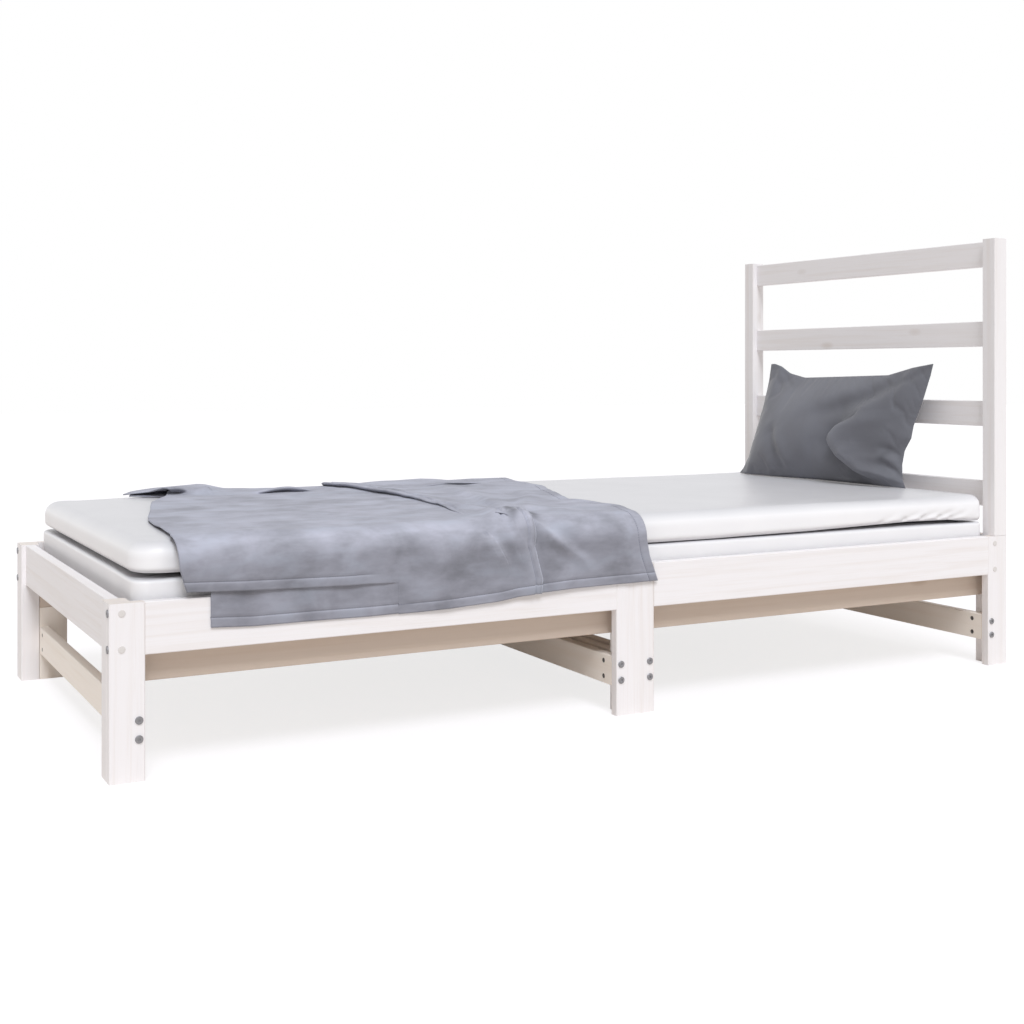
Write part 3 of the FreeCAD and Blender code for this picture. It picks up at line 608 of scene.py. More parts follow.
# %% Creases and soft steps
def crease(points, line, left, right):
    """How high a crease lifts each point. A line's points are x, y, z and height. The crease
    fades over its left width on the side of lower x, and its right width on the other."""
    line = np.asarray(line, float)
    nearest = np.full(len(points), np.inf)
    height = np.zeros(len(points))
    side = np.zeros(len(points))
    for start, end in zip(line, line[1:]):
        way = end[:3] - start[:3]
        along = np.clip((points - start[:3]) @ way / (way @ way), 0, 1)
        foot = start[:3] + along[:, None] * way
        away = np.linalg.norm(points - foot, axis=1)
        closer = away < nearest
        nearest = np.where(closer, away, nearest)
        height = np.where(closer, start[3] + along * (end[3] - start[3]), height)
        side = np.where(closer, points[:, 0] - foot[:, 0], side)
    width = np.where(side < 0, left, right)
    return height * np.exp(-(nearest / width) ** 2)


def softly(low, high, value):
    """0 below low, 1 above high, and a smooth change between."""
    share = np.clip((np.asarray(value, float) - low) / (high - low), 0, 1)
    return share * share * (3 - 2 * share)


print("Halfway along a soft step:", softly(0, 1, 0.5))

# %% [markdown]
# Padded things are sewn covers with something springy inside. Blender's cloth gets that look
# by blowing air into the cover. The cover starts a little small, swells for a few frames, and
# no point may go further than a set distance, so the piece keeps its size. A cover that is cut
# slightly larger than its filling wrinkles, and pinned seams stay where they were sewn.


# %% Blowing up a sewn cover
SWELLING_FRAMES = 20
STEPS_PER_FRAME = 6
COVER_STIFFNESS = 12.0
COVER_BENDING = 0.4
COVER_MASS = 0.3


def puffed(piece, pressure, furthest, pinned, looseness):
    """Swell a cover with air, and cap how far each point moves, in millimetres."""
    before = read_points(piece.data)
    seam = piece.vertex_groups.new(name="seam")
    seam.add([int(point) for point in pinned], 1.0, "REPLACE")
    cloth = piece.modifiers.new("cover", "CLOTH")
    cover = cloth.settings
    cover.quality = STEPS_PER_FRAME
    cover.mass = COVER_MASS
    cover.tension_stiffness = COVER_STIFFNESS
    cover.compression_stiffness = COVER_STIFFNESS
    cover.shear_stiffness = COVER_STIFFNESS / 2
    cover.bending_stiffness = COVER_BENDING
    cover.use_pressure = True
    cover.uniform_pressure_force = pressure
    cover.shrink_min = -looseness
    cover.vertex_group_mass = "seam"
    cover.effector_weights.gravity = 0
    cloth.collision_settings.use_collision = False
    cloth.point_cache.frame_start = 1
    cloth.point_cache.frame_end = SWELLING_FRAMES
    for step in range(1, SWELLING_FRAMES + 1):
        scene.frame_set(step)
    swollen = bpy.data.meshes.new_from_object(
        piece.evaluated_get(bpy.context.evaluated_depsgraph_get()))
    move = read_points(swollen) - before
    bpy.data.meshes.remove(swollen)
    piece.modifiers.remove(cloth)
    piece.vertex_groups.remove(seam)
    scene.frame_set(1)
    reach = np.linalg.norm(move, axis=1)
    eased = furthest * np.tanh(reach / furthest)
    move *= (eased / np.maximum(reach, 1e-9))[:, None]
    write_points(piece.data, before + move)
    print(piece.name, "moved", round(float(eased.mean()), 1), "mm on average,",
          round(float(eased.max()), 1), "at most")


print("Covers swell for", SWELLING_FRAMES, "frames")

# %% [markdown]
# Both mattresses are foam slabs in a smooth, slightly shiny white cover. A foam slab has round
# edges, rounded corners and a faint crown. Its net is that of a box: rings of points round the
# side and a grid on top and bottom, closer together where the surface bends.


# %% Spacing the lines of a net
def steps_between(low, high, marks):
    """Distances from low to high. marks are (up to, step) pairs that say how close they lie."""
    found = [low]
    for until, step in marks:
        count = max(1, round((until - found[-1]) / step))
        found += list(np.linspace(found[-1], until, count + 1)[1:])
    found[-1] = high
    return np.array(found)


print("From 0 to 10 in steps that widen:", steps_between(0, 10, [(4, 1), (10, 3)]))

# %% The net of a foam slab
# At the head end the slab is pressed flat, so its edges draw in by this share only.
HEAD_SHARE = 0.3
SMALLEST_CORNER = 4


def slab(name, low, high, corners, edges, crown, x_marks, y_marks, side_rows=5, round_rows=6):
    """A foam slab between two corners, in millimetres. corners are its radii seen from above:
    foot front, head front, foot wall and head wall. edges are those of its lower and upper
    edges. The head end is pressed flat against the posts, so its edges are sharper."""
    xs = steps_between(low[0], high[0], x_marks)
    ys = steps_between(low[1], high[1], y_marks)
    middle = (np.array(low[:2]) + np.array(high[:2])) / 2
    half = (np.array(high[:2]) - np.array(low[:2])) / 2

    def seen_from_above(x, y, inset):
        """Squeeze a point of the box into the rounded outline, drawn in by inset."""
        spot = (np.array([x, y]) - middle) / half
        corner = corners[(1 if spot[0] > 0 else 0) + (2 if spot[1] > 0 else 0)]
        drawn_in = half - np.array([inset * (HEAD_SHARE if spot[0] > 0 else 1), inset])
        spot = spot * drawn_in
        radius = max(corner - inset, SMALLEST_CORNER)
        inner = drawn_in - radius
        held = np.clip(spot, -inner, inner)
        over = spot - held
        length = np.linalg.norm(over)
        if length > 1e-9:
            over = over / length * np.abs(over).max()
        return middle + held + over

    loop = ([(x, ys[0]) for x in xs[:-1]] + [(xs[-1], y) for y in ys[:-1]]
            + [(x, ys[-1]) for x in xs[:0:-1]] + [(xs[0], y) for y in ys[:0:-1]])
    quarter = [math.pi / 2 * step / round_rows for step in range(round_rows + 1)]
    under, over = edges
    levels = [(under * (1 - math.sin(turn)), low[2] + under * (1 - math.cos(turn)))
              for turn in quarter]
    shoulder = high[2] - crown
    straight = np.linspace(low[2] + under, shoulder - over, side_rows + 1)[1:-1]
    levels += [(0.0, z) for z in straight]
    levels += [(over * (1 - math.cos(turn)), shoulder - over * (1 - math.sin(turn)))
               for turn in quarter]
    points = []
    for inset, z in levels:
        points += [(*seen_from_above(x, y, inset), z) for x, y in loop]
    around = len(loop)
    faces = []
    for row in range(len(levels) - 1):
        for at in range(around):
            ahead = (at + 1) % around
            faces.append((row * around + at, row * around + ahead,
                          (row + 1) * around + ahead, (row + 1) * around + at))
    for ring, z, turned_over in ((0, low[2], True), (len(levels) - 1, shoulder, False)):
        inset = levels[ring][0]
        index = {spot: ring * around + at for at, spot in enumerate(loop)}
        for x in xs[1:-1]:
            for y in ys[1:-1]:
                index[(x, y)] = len(points)
                u, v = (np.array([x, y]) - middle) / half
                rise = 0 if turned_over else crown * (1 - u ** 6) * (1 - v ** 4)
                points.append((*seen_from_above(x, y, inset), z + rise))
        for x, x_next in zip(xs, xs[1:]):
            for y, y_next in zip(ys, ys[1:]):
                face = [index[(x, y)], index[(x_next, y)], index[(x_next, y_next)],
                        index[(x, y_next)]]
                faces.append(face[::-1] if turned_over else face)
    return mesh_object(name, points, faces)


print("Slabs can be made")

# %% [markdown]
# The mattress cover is a coated knit: white, smooth, with soft highlights on its round edges.
# Its knit is finer than a pixel here, so it is drawn as loops about 3 mm apart, very shallow.
# A second, broad unevenness bends the highlights as foam under a cover does. The panels on top
# and bottom are painted greyer than the border round the sides, as painted shade where less
# light falls from above, so the finish asks which way the surface faces.

# %% The mattress cover
LOOP_MM = 3.0
SWELL_MM = 110
knit_painted_top_shade, tree = empty_finish("coated_white_knit")
place = add(tree, "ShaderNodeTexCoord")
loops = add(tree, "ShaderNodeTexVoronoi", {"Vector": place.outputs["Object"],
                                           "Scale": 1000 / LOOP_MM, "Randomness": 0.6})
swells = add(tree, "ShaderNodeTexNoise", {"Vector": place.outputs["Object"],
                                          "Scale": 1000 / SWELL_MM, "Detail": 2.0})
# The panels on top and bottom are painted greyer than the border, as painted shade on faces that
# get less light.
panel = add(tree, "ShaderNodeMix", {0: swells.outputs["Fac"], 6: colour("#dad9dc"),
                                    7: colour("#d1d0d3")}, data_type="RGBA")
lit_border_tone = add(tree, "ShaderNodeMix", {0: swells.outputs["Fac"], 6: colour("#f8f7f8"),
                                     7: colour("#f1f0f2")}, data_type="RGBA")
sides = add(tree, "ShaderNodeSeparateXYZ", {0: place.outputs["Normal"]})
upright = add(tree, "ShaderNodeMath", {0: sides.outputs[2]}, operation="ABSOLUTE")
flat = add(tree, "ShaderNodeMapRange", {"Value": upright.outputs[0], "From Min": 0.35,
                                        "From Max": 0.97})
tone = add(tree, "ShaderNodeMix", {0: flat.outputs[0], 6: lit_border_tone.outputs[2],
                                   7: panel.outputs[2]}, data_type="RGBA")
fine = add(tree, "ShaderNodeBump", {"Strength": 0.25, "Distance": 0.0002,
                                    "Height": loops.outputs["Distance"]})
broad = add(tree, "ShaderNodeBump", {"Strength": 0.35, "Distance": 0.004,
                                     "Height": swells.outputs["Fac"],
                                     "Normal": fine.outputs[0]})
knit = add(tree, "ShaderNodeBsdfPrincipled", {"Base Color": tone.outputs[2], "Roughness": 0.34,
                                              "IOR": 1.4, "Normal": broad.outputs[0]})
add(tree, "ShaderNodeOutputMaterial", {"Surface": knit.outputs[0]})
print("Cover finish", knit_painted_top_shade.name)

# %% [markdown]
# Each mattress is a slab in the box of its CAD solid. It starts a millimetre smaller, swells by
# a little air, and is then held inside that box. Its flat bottom stays where it lies.


# %% Making a mattress from its CAD box
START_SMALLER = 1.0
CROWN = 1.0
MATTRESS_AIR = 3.0
COVER_LOOSENESS = 0.005


def mattress(name, node, corners, edges, x_marks, furthest):
    """A foam mattress in the room that its CAD solid holds, and that room's two corners."""
    low, high = (np.array(end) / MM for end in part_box(node))
    inward = np.array([START_SMALLER, START_SMALLER, 0])
    top = np.array([0, 0, START_SMALLER])
    # The net is close along the two long edges and wide between them.
    y_marks = [(low[1] + 60, 7), (low[1] + 140, 20), (high[1] - 140, 40), (high[1] - 60, 20),
               (high[1], 7)]
    piece = slab(name, low + inward, high - inward - top, corners, edges, CROWN, x_marks, y_marks)
    bottom = np.nonzero(read_points(piece.data)[:, 2] < low[2] + 1)[0]
    puffed(piece, MATTRESS_AIR, furthest, bottom, COVER_LOOSENESS)
    points = read_points(piece.data)
    points[:, 2] = np.clip(points[:, 2], low[2], high[2])
    write_points(piece.data, points)
    return piece, low, high


def covered(piece, node, body, finish):
    """Smooth a padded piece, give it its finish, and join it to its body."""
    smooth = piece.modifiers.new("smooth", "SUBSURF")
    smooth.levels = 1
    smooth.render_levels = 1
    plain_mesh(piece)
    piece.data.materials.append(finish)
    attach(piece, body)
    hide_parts(node)
    print(piece.name, len(piece.data.polygons), "faces")


print("Mattresses start", START_SMALLER, "mm smaller than their boxes")

# %% The lower mattress
LOWER_CORNERS = (30, 8, 30, 20)
LOWER_EDGES = (8, 6)
LOWER_MARKS = [(-940, 7), (-860, 20), (860, 42), (940, 20), (1000, 7)]
LOWER_SWELL = 2.0
lower = mattress("lower_mattress_foam", "lower_mattress", LOWER_CORNERS, LOWER_EDGES,
                 LOWER_MARKS, LOWER_SWELL)[0]
covered(lower, "lower_mattress", "pull_out_frame", knit_painted_top_shade)

# %% [markdown]
# The upper mattress is thinner and rounder. At its head end the cover was gathered under the
# corner. That draws its lower front edge up a little and leaves slanting creases on its side,
# so its net is closer there.

# %% The upper mattress
UPPER_CORNERS = (60, 8, 45, 20)
UNDER_EDGE = 13
UPPER_EDGES = (UNDER_EDGE, 28)
UPPER_MARKS = [(-940, 7), (-860, 20), (180, 42), (640, 18), (1000, 6)]
UPPER_SWELL = 2.5
upper, low, high = mattress("upper_mattress_foam", "upper_mattress", UPPER_CORNERS, UPPER_EDGES,
                            UPPER_MARKS, UPPER_SWELL)
points = read_points(upper.data)
print("Its front face is", (high[2] - low[2]).round(), "mm high")

# %% [markdown]
# A crease runs up and across the front, deepest at its lower end, with a lower swell beside it.
# The drawn-up edge is a height along the bed, which fades inwards and upwards.

# %% The creases at the gathered corner
# Each crease has its stops, as x and z, and its depth. Both fade over a few millimetres.
CREASE_WIDTH = 7
SWELL_WIDTH = 8
SWELL_BESIDE = 15
SWELL_SHARE = 0.6
ALONG_CREASE = (1, 0.9, 0)
CREASES = (
    ((690, 343), (715, 352), (745, 360), -4.0),
    ((760, 345), (790, 354), (822, 364), -7.0),
    ((815, 347), (850, 357), (890, 368), -6.5),
    ((868, 347), (902, 358), (935, 366), -8.0),
    ((905, 345), (935, 354), (968, 362), -7.0),
)


def front_face(z):
    """How far back the front face lies at one height, where its lower edge curves in."""
    below = np.clip(1 - (z - low[2]) / UNDER_EDGE, 0, 1)
    return low[1] + UNDER_EDGE * (1 - math.sqrt(1 - below ** 2))


lift = np.zeros(len(points))
for (*stops, depth) in CREASES:
    line = [(x, front_face(z), z, share * depth) for (x, z), share in zip(stops, ALONG_CREASE)]
    lift += crease(points, line, CREASE_WIDTH, CREASE_WIDTH)
    line = [(x + SWELL_BESIDE, front_face(z + 2), z + 2, -SWELL_SHARE * height)
            for x, _, z, height in line]
    lift += crease(points, line, SWELL_WIDTH, SWELL_WIDTH)
points[:, 1] -= lift
print("Creases push the front in by up to", (-lift.min()).round(1), "mm")

# %% The drawn-up lower edge
# Its height at places along the bed, how far it reaches inwards, and how fast it fades upwards.
DRAWN_UP_AT = (-1000, -700, 214, 319, 483, 627, 777, 902, 975)
DRAWN_UP = (7, 4, 0, 1, 2, 5, 8, 6, 0)
DRAWN_INWARDS = (15, 90)
DRAWN_FADE = 1.4
share_up = np.clip((points[:, 2] - low[2]) / (high[2] - low[2]), 0, 1)
from_edge = np.minimum(points[:, 1] - low[1], points[:, 0] - low[0])
drawn_up = np.interp(points[:, 0], DRAWN_UP_AT, DRAWN_UP)
drawn_up = drawn_up * (1 - softly(*DRAWN_INWARDS, from_edge))
points[:, 2] += drawn_up * (1 - share_up) ** DRAWN_FADE
write_points(upper.data, points)
covered(upper, "upper_mattress", "loose_bedding", knit_painted_top_shade)

# %% [markdown]
# The pillow has a plain grey sateen case, sewn from two panels. Its corners stand out as ears,
# because the filling doesn't reach them, and its edges draw in between them. It leans on the
# headboard with a fold in the case where it slumps. The two panels are nets that share their
# edge, and that edge is pinned as a seam while the case swells.

# %% The pillow's outline
# The far and near sides give y by the share of the height. The top edge's sag and the base's x
# go by the share of the width, from the far side to the near one.
PILLOW_WIDTH = 600.0
FAR_SIDE = ((0, 0.05, 0.15, 0.35, 0.6, 0.85, 1.0), (372, 358, 345, 338, 332, 335, 342))
NEAR_SIDE = ((0, 0.08, 0.19, 0.3, 0.4, 0.5, 0.7, 0.9, 1.0),
             (-262, -245, -238, -240, -256, -258, -277, -291, -295))
TOP_SAG = ((0, 0.03, 0.08, 0.137, 0.237, 0.5, 0.75, 0.888, 1.0), (1, 0, 8, 27, 39, 35, 31, 12, 2))
BASE_X = ((0, 0.08, 0.25, 0.5, 1.0), (903, 890, 893, 925, 934))
TOP_X = 994.0
pillow_low, pillow_high = (np.array(end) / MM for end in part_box("pillow"))
PILLOW_TOP = pillow_high[2] + 1.0
PILLOW_BOTTOM = pillow_low[2] + 1.0
# Where the slumped near part laps over the rest: places up, and how far across the lap is.
LAP = ((0.0, 0.022, 0.071, 0.164, 0.252, 0.345, 0.394, 0.468, 0.541, 0.66, 1.0),
       (0.86, 0.851, 0.806, 0.72, 0.662, 0.625, 0.628, 0.655, 0.70, 0.73, 0.70))
LAP_HALF = 14.0 / PILLOW_WIDTH


def on_pillow(across, up):
    """The point of the pillow's middle sheet: across runs from the far side to the near one,
    and up from the mattress to the top edge, both from 0 to 1."""
    y = (1 - across) * np.interp(up, *FAR_SIDE) + across * np.interp(up, *NEAR_SIDE)
    top = PILLOW_TOP - np.interp(across, *TOP_SAG)
    base = np.interp(across, *BASE_X)
    return np.array([base + up * (TOP_X - base), y, PILLOW_BOTTOM + up * (top - PILLOW_BOTTOM)])


print("Pillow corners", on_pillow(0, 0).round(), on_pillow(1, 1).round())

# %% [markdown]
# A panel's columns lie closest beside the lap, where the cloth bends most. The filling makes a
# belly that fades towards the seam, so that the corners stay thin and stand out as ears. The
# front belly is fuller than the back one, which the headboard presses flat.

# %% How full the pillow is
UP = 70
COLUMN_COUNTS = (62, 14, 54)
ACROSS = sum(COLUMN_COUNTS)
FRONT_BELLY = 56.0
BACK_BELLY = 27.0
lean = on_pillow(0.5, 1) - on_pillow(0.5, 0)
outward = np.array([-lean[2], 0, lean[0]]) / np.linalg.norm([lean[0], 0, lean[2]])


def columns_across(up):
    """Where the columns are at one height. They follow the lap and lie closest beside it."""
    lap = np.interp(up, *LAP)
    first, pleat, last = COLUMN_COUNTS
    return np.concatenate([np.linspace(0, lap - LAP_HALF, first + 1)[:-1],
                           np.linspace(lap - LAP_HALF, lap + LAP_HALF, pleat + 1),
                           np.linspace(lap + LAP_HALF, 1, last + 1)[1:]])


def fullness(across, up):
    """The share of the belly that the filling gives a place on the pillow."""
    return (1 - abs(2 * across - 1) ** 2.4) ** 0.8 * math.sin(math.pi * up ** 0.82) ** 0.7


print("Belly", FRONT_BELLY, "mm in front and", BACK_BELLY, "mm behind")

# %% Sewing the pillow's two panels
PILLOW_AIR = 4.0
CASE_SWELL = 9.0
CASE_LOOSENESS = 0.008
points = []
index = {}
spots = {}
for panel, belly in ((1, FRONT_BELLY), (-1, BACK_BELLY)):
    for j in range(UP + 1):
        up = j / UP
        for i, across in enumerate(columns_across(up)):
            on_seam = i in (0, ACROSS) or j in (0, UP)
            if panel == -1 and on_seam:
                index[panel, i, j] = index[1, i, j]
                continue
            index[panel, i, j] = len(points)
            if panel == 1:
                spots[len(points)] = (i, across, up)
            points.append(on_pillow(across, up) + outward * panel * belly * fullness(across, up))
faces = []
for panel in (1, -1):
    for i in range(ACROSS):
        for j in range(UP):
            face = [index[panel, i, j], index[panel, i + 1, j], index[panel, i + 1, j + 1],
                    index[panel, i, j + 1]]
            faces.append(face if panel == 1 else face[::-1])
pillow = mesh_object("pillow_case", points, faces)
seam = [index[1, i, j] for i in range(ACROSS + 1) for j in range(UP + 1)
        if i in (0, ACROSS) or j in (0, UP)]
puffed(pillow, PILLOW_AIR, CASE_SWELL, seam, CASE_LOOSENESS)
print("Pillow case", len(points), "points,", len(seam), "of them on the seam")

# %% [markdown]
# The pillow slumps, so its near part laps over the rest. A lap is a pleat: the cloth turns back
# under itself and forward again. The net has closely spaced columns there, and each is moved to
# its place on the pleat's path. All other folds are creases, listed from the largest to the
# smallest.


# %% A pleat's path
# The path runs across the pleat's line, as (across, height).
PLEAT_WIDTH = 24
PLEAT_HEIGHT = 12.5
PLEAT_PATH = np.array(((-12, 0), (18, 0.5), (21, 3), (16, 5.2), (-2, 6.5), (-6.5, 9), (-3, 11.8),
                       (12, 12.5)))


def along_path(path, share):
    """The point at a share of a path's length."""
    steps = np.linalg.norm(np.diff(path, axis=0), axis=1)
    at = np.concatenate([[0], np.cumsum(steps)]) / steps.sum()
    return np.interp(share, at, path[:, 0]), np.interp(share, at, path[:, 1])


print("A pleat ends", PLEAT_HEIGHT, "mm higher than it starts")


# %% Folds in the pillow case
def pillow_line(stops):
    """A crease on the pillow's front panel, from stops of across, up and height."""
    return [(*(on_pillow(across, up) + outward * FRONT_BELLY * fullness(across, up)), height)
            for across, up, height in stops]


points = read_points(pillow.data)
# Creases measure left and right along x, and the pillow's front runs along y, so the points
# are turned a quarter for them.
quarter_turn = np.array([[0, 1, 0], [-1, 0, 0], [0, 0, 1]], float)
turned_points = points @ quarter_turn
PILLOW_FOLDS = (
    # The hollow beside the lap.
    ([(0.70, 0.60, -6), (0.625, 0.540, -18), (0.590, 0.437, -24), (0.595, 0.341, -26),
      (0.625, 0.247, -24), (0.678, 0.159, -18), (0.740, 0.084, -8)], 52, 20),
    # A soft valley from the top near corner to the middle, and the swell below it.
    ([(0.40, 0.58, -4), (0.505, 0.628, -14), (0.685, 0.744, -15), (0.83, 0.874, -8)], 26, 26),
    ([(0.60, 0.60, 0), (0.74, 0.64, 10), (0.88, 0.76, 5)], 34, 34),
    # Wrinkles that run to the near lower corner.
    ([(1.0, 0.10, -3), (0.93, 0.16, -7), (0.84, 0.17, 0)], 8, 9),
    ([(1.0, 0.17, 3), (0.92, 0.23, 6), (0.82, 0.22, 1)], 9, 9),
    ([(1.0, 0.24, -3), (0.93, 0.30, -7), (0.87, 0.31, 0)], 9, 10),
    ([(0.98, 0.05, 2), (0.90, 0.09, 5), (0.80, 0.10, 2)], 9, 9),
    ([(0.97, 0.02, -2), (0.88, 0.04, -5), (0.78, 0.05, 0)], 6, 6),
    ([(0.76, 0.30, 3), (0.72, 0.22, 6), (0.78, 0.14, 3)], 12, 20),
    # A soft upright fold on the far part.
    ([(0.19, 0.50, 0), (0.215, 0.42, -8), (0.274, 0.24, -11), (0.33, 0.097, -6)], 30, 13),
    ([(0.25, 0.46, 0), (0.30, 0.32, 5), (0.36, 0.14, 4)], 18, 22),
    # Puckers under the far ear and along the top edge.
    ([(0.02, 0.95, -2), (0.10, 0.86, -5), (0.18, 0.74, 0)], 12, 14),
    ([(0.10, 0.97, -2), (0.16, 0.90, -5), (0.22, 0.84, 0)], 9, 10),
    ([(0.97, 0.95, -2), (0.90, 0.88, -4), (0.82, 0.84, 0)], 10, 12),
)


def on_case(folds):
    """The sum of creases on the pillow's front panel, at each of its points."""
    total = np.zeros(len(turned_points))
    for stops, left, right in folds:
        line = np.array(pillow_line(stops))
        line[:, :3] = line[:, :3] @ quarter_turn
        total += crease(turned_points, line, left, right)
    return total


lift = on_case(PILLOW_FOLDS)
print("Folds lift the case by", lift.min().round(1), "to", lift.max().round(1), "mm")

# %% Laying the lap and the folds
# The lap grows above the base and ends halfway up. Folds fade out beside the seam.
LAP_HEIGHT = 20.0
LAP_FADE = 120
LAP_GROWS = (0.0, 0.09)
LAP_ENDS = (0.46, 0.64)
SEAM_UP = 0.04
SEAM_ACROSS = 0.03
for point, (column, across, up) in spots.items():
    strength = float(softly(*LAP_GROWS, up) * (1 - softly(*LAP_ENDS, up)))
    share = (column - COLUMN_COUNTS[0]) / COLUMN_COUNTS[1]
    inside = (softly(0, SEAM_UP, up) * softly(0, SEAM_UP, 1 - up)
              * softly(0, SEAM_ACROSS, across * (1 - across)))
    height = lift[point] * float(inside)
    if 0 < share < 1:
        shift, rise = (float(value) for value in along_path(PLEAT_PATH, share))
        points[point, 1] -= strength * (shift + PLEAT_WIDTH / 2 - PLEAT_WIDTH * share)
        height += strength * LAP_HEIGHT * rise / PLEAT_HEIGHT
    elif share >= 1:
        beyond = (across - np.interp(up, *LAP) - LAP_HALF) * PILLOW_WIDTH
        height += strength * LAP_HEIGHT * float(1 - softly(0, LAP_FADE, beyond))
    points[point] += outward * height
points[:, 2] = np.maximum(points[:, 2], PILLOW_BOTTOM)
write_points(pillow.data, points)
print("The lap stands", LAP_HEIGHT, "mm high")

# %% [markdown]
# Shade is painted into the case's colour beyond what its folds give: painted shade in the
# hollows, valleys and along the base, and painted highlight on the lap and the swells. That
# painted shade is kept on the mesh as an attribute, so it stays with the cloth from every side,
# and the finish reads it.


# %% Painted shade in the case's folds
DARKEST_PAINTED_SHADE = -0.65
LIGHTEST_PAINTED_LIGHT = 0.3


def keep_painted_shade(piece, values):
    """Keep how much painted shade or painted highlight each point's cloth gets, for its finish."""
    tone = piece.data.attributes.new("fold_tone", "FLOAT", "POINT")
    tone.data.foreach_set("value", np.clip(values, DARKEST_PAINTED_SHADE, LIGHTEST_PAINTED_LIGHT))


def with_painted_shade(tree, plain):
    """A finish's colour, made lighter or darker by the painted shade kept on the mesh."""
    kept = add(tree, "ShaderNodeAttribute", attribute_name="fold_tone")
    share = add(tree, "ShaderNodeMath", {0: kept.outputs["Fac"], 1: 1.0}, operation="ADD")
    return add(tree, "ShaderNodeVectorMath", {0: plain, 3: share.outputs[0]},
               operation="SCALE").outputs[0]


# Stops of across, up and tone: painted shade in the hollows and along the base, and painted
# highlight on the lap's crest and the swells.
PILLOW_PAINTED_SHADE = (
    ([(0.70, 0.58, -0.15), (0.635, 0.53, -0.28), (0.598, 0.44, -0.34), (0.60, 0.34, -0.36),
      (0.635, 0.25, -0.34), (0.695, 0.155, -0.32), (0.765, 0.08, -0.3), (0.81, 0.02, -0.2)], 30, 9),
    ([(0.67, 0.50, 0.08), (0.645, 0.40, 0.20), (0.645, 0.33, 0.22), (0.69, 0.24, 0.18),
      (0.75, 0.15, 0.14), (0.83, 0.06, 0.08)], 5, 24),
    ([(0.42, 0.585, -0.06), (0.52, 0.63, -0.16), (0.685, 0.744, -0.18), (0.83, 0.874, -0.1)],
     24, 24),
    ([(0.95, 0.97, -0.12), (0.90, 0.6, -0.16), (0.86, 0.36, -0.16)], 80, 80),
    ([(0.93, 0.28, -0.2), (0.90, 0.17, -0.12), (0.96, 0.07, -0.16)], 10, 10),
    ([(0.0, 0.0, -0.4), (0.5, 0.0, -0.45), (0.82, 0.0, -0.4)], 9, 9),
    ([(0.22, 0.72, 0.10), (0.5, 0.73, 0.08)], 60, 60),
    ([(0.205, 0.42, -0.1), (0.265, 0.24, -0.14), (0.32, 0.09, -0.08)], 12, 6),
)
pillow_painted_shade = on_case(PILLOW_PAINTED_SHADE)
keep_painted_shade(pillow, pillow_painted_shade)
print("Tone of the case from", pillow_painted_shade.min().round(2), "to", pillow_painted_shade.max().round(2))

# %% [markdown]
# Sateen is a cotton weave whose threads float over four others, so it shines softly along the
# threads. Its threads are about 0.2 mm apart, which is too fine to show, so they are drawn
# 1.5 mm apart as a faint twill of shine. Sheen lightens the case where it turns away.

# %% The pillow's sateen
TWILL_MM = 1.5
WORN_MM = 90
sateen, tree = empty_finish("grey_cotton_sateen")
place = add(tree, "ShaderNodeTexCoord")
twill = add(tree, "ShaderNodeTexWave", {"Vector": place.outputs["Object"],
                                        "Scale": 1000 / TWILL_MM / (2 * math.pi),
                                        "Distortion": 0.8,
                                        "Detail": 1.0}, bands_direction="DIAGONAL")
worn = add(tree, "ShaderNodeTexNoise", {"Vector": place.outputs["Object"],
                                        "Scale": 1000 / WORN_MM, "Detail": 3.0})
tone = add(tree, "ShaderNodeMix", {0: worn.outputs["Fac"], 6: colour("#6a6a70"),
                                   7: colour("#797b83")}, data_type="RGBA")
shine = add(tree, "ShaderNodeMapRange", {"Value": twill.outputs["Fac"], "To Min": 0.4,
                                         "To Max": 0.5})
relief = add(tree, "ShaderNodeBump", {"Strength": 0.12, "Distance": 0.0002,
                                      "Height": twill.outputs["Fac"]})
# Its colour carries the painted fold shade kept on the mesh.
case = add(tree, "ShaderNodeBsdfPrincipled", {"Base Color": with_painted_shade(tree, tone.outputs[2]),
                                              "Roughness": shine.outputs[0],
                                              "Sheen Weight": 0.1, "Sheen Roughness": 0.4,
                                              "Specular IOR Level": 0.3,
                                              "Normal": relief.outputs[0]})
add(tree, "ShaderNodeOutputMaterial", {"Surface": case.outputs[0]})
covered(pillow, "pillow", "loose_bedding", sateen)

# %% [markdown]
# The throw is one long sheet of brushed suede cloth, folded double across the bed. It lies
# flat on the mattress, bends over its front edge and hangs before the rail. The under layer
# hangs lower than the upper one, so two hems show. The net has one row for each line across the
# bed and follows the cloth: up from the lower hem, over the mattress to the wall side, round
# the fold, and back to the upper hem. A form built from listed lines follows the photographed
# folds better than a drape that falls by chance.

# %% Where the throw lies
MATTRESS_TOP = high[2] + 0.4
BEND = 48.0
RAIL_FACE = front_y / MM - 0.6
BEND_Y = RAIL_FACE + BEND
BEND_Z = MATTRESS_TOP - BEND
BACK = 448.0
print("The throw bends over the front edge at", round(BEND_Y), "and", round(BEND_Z), "mm")

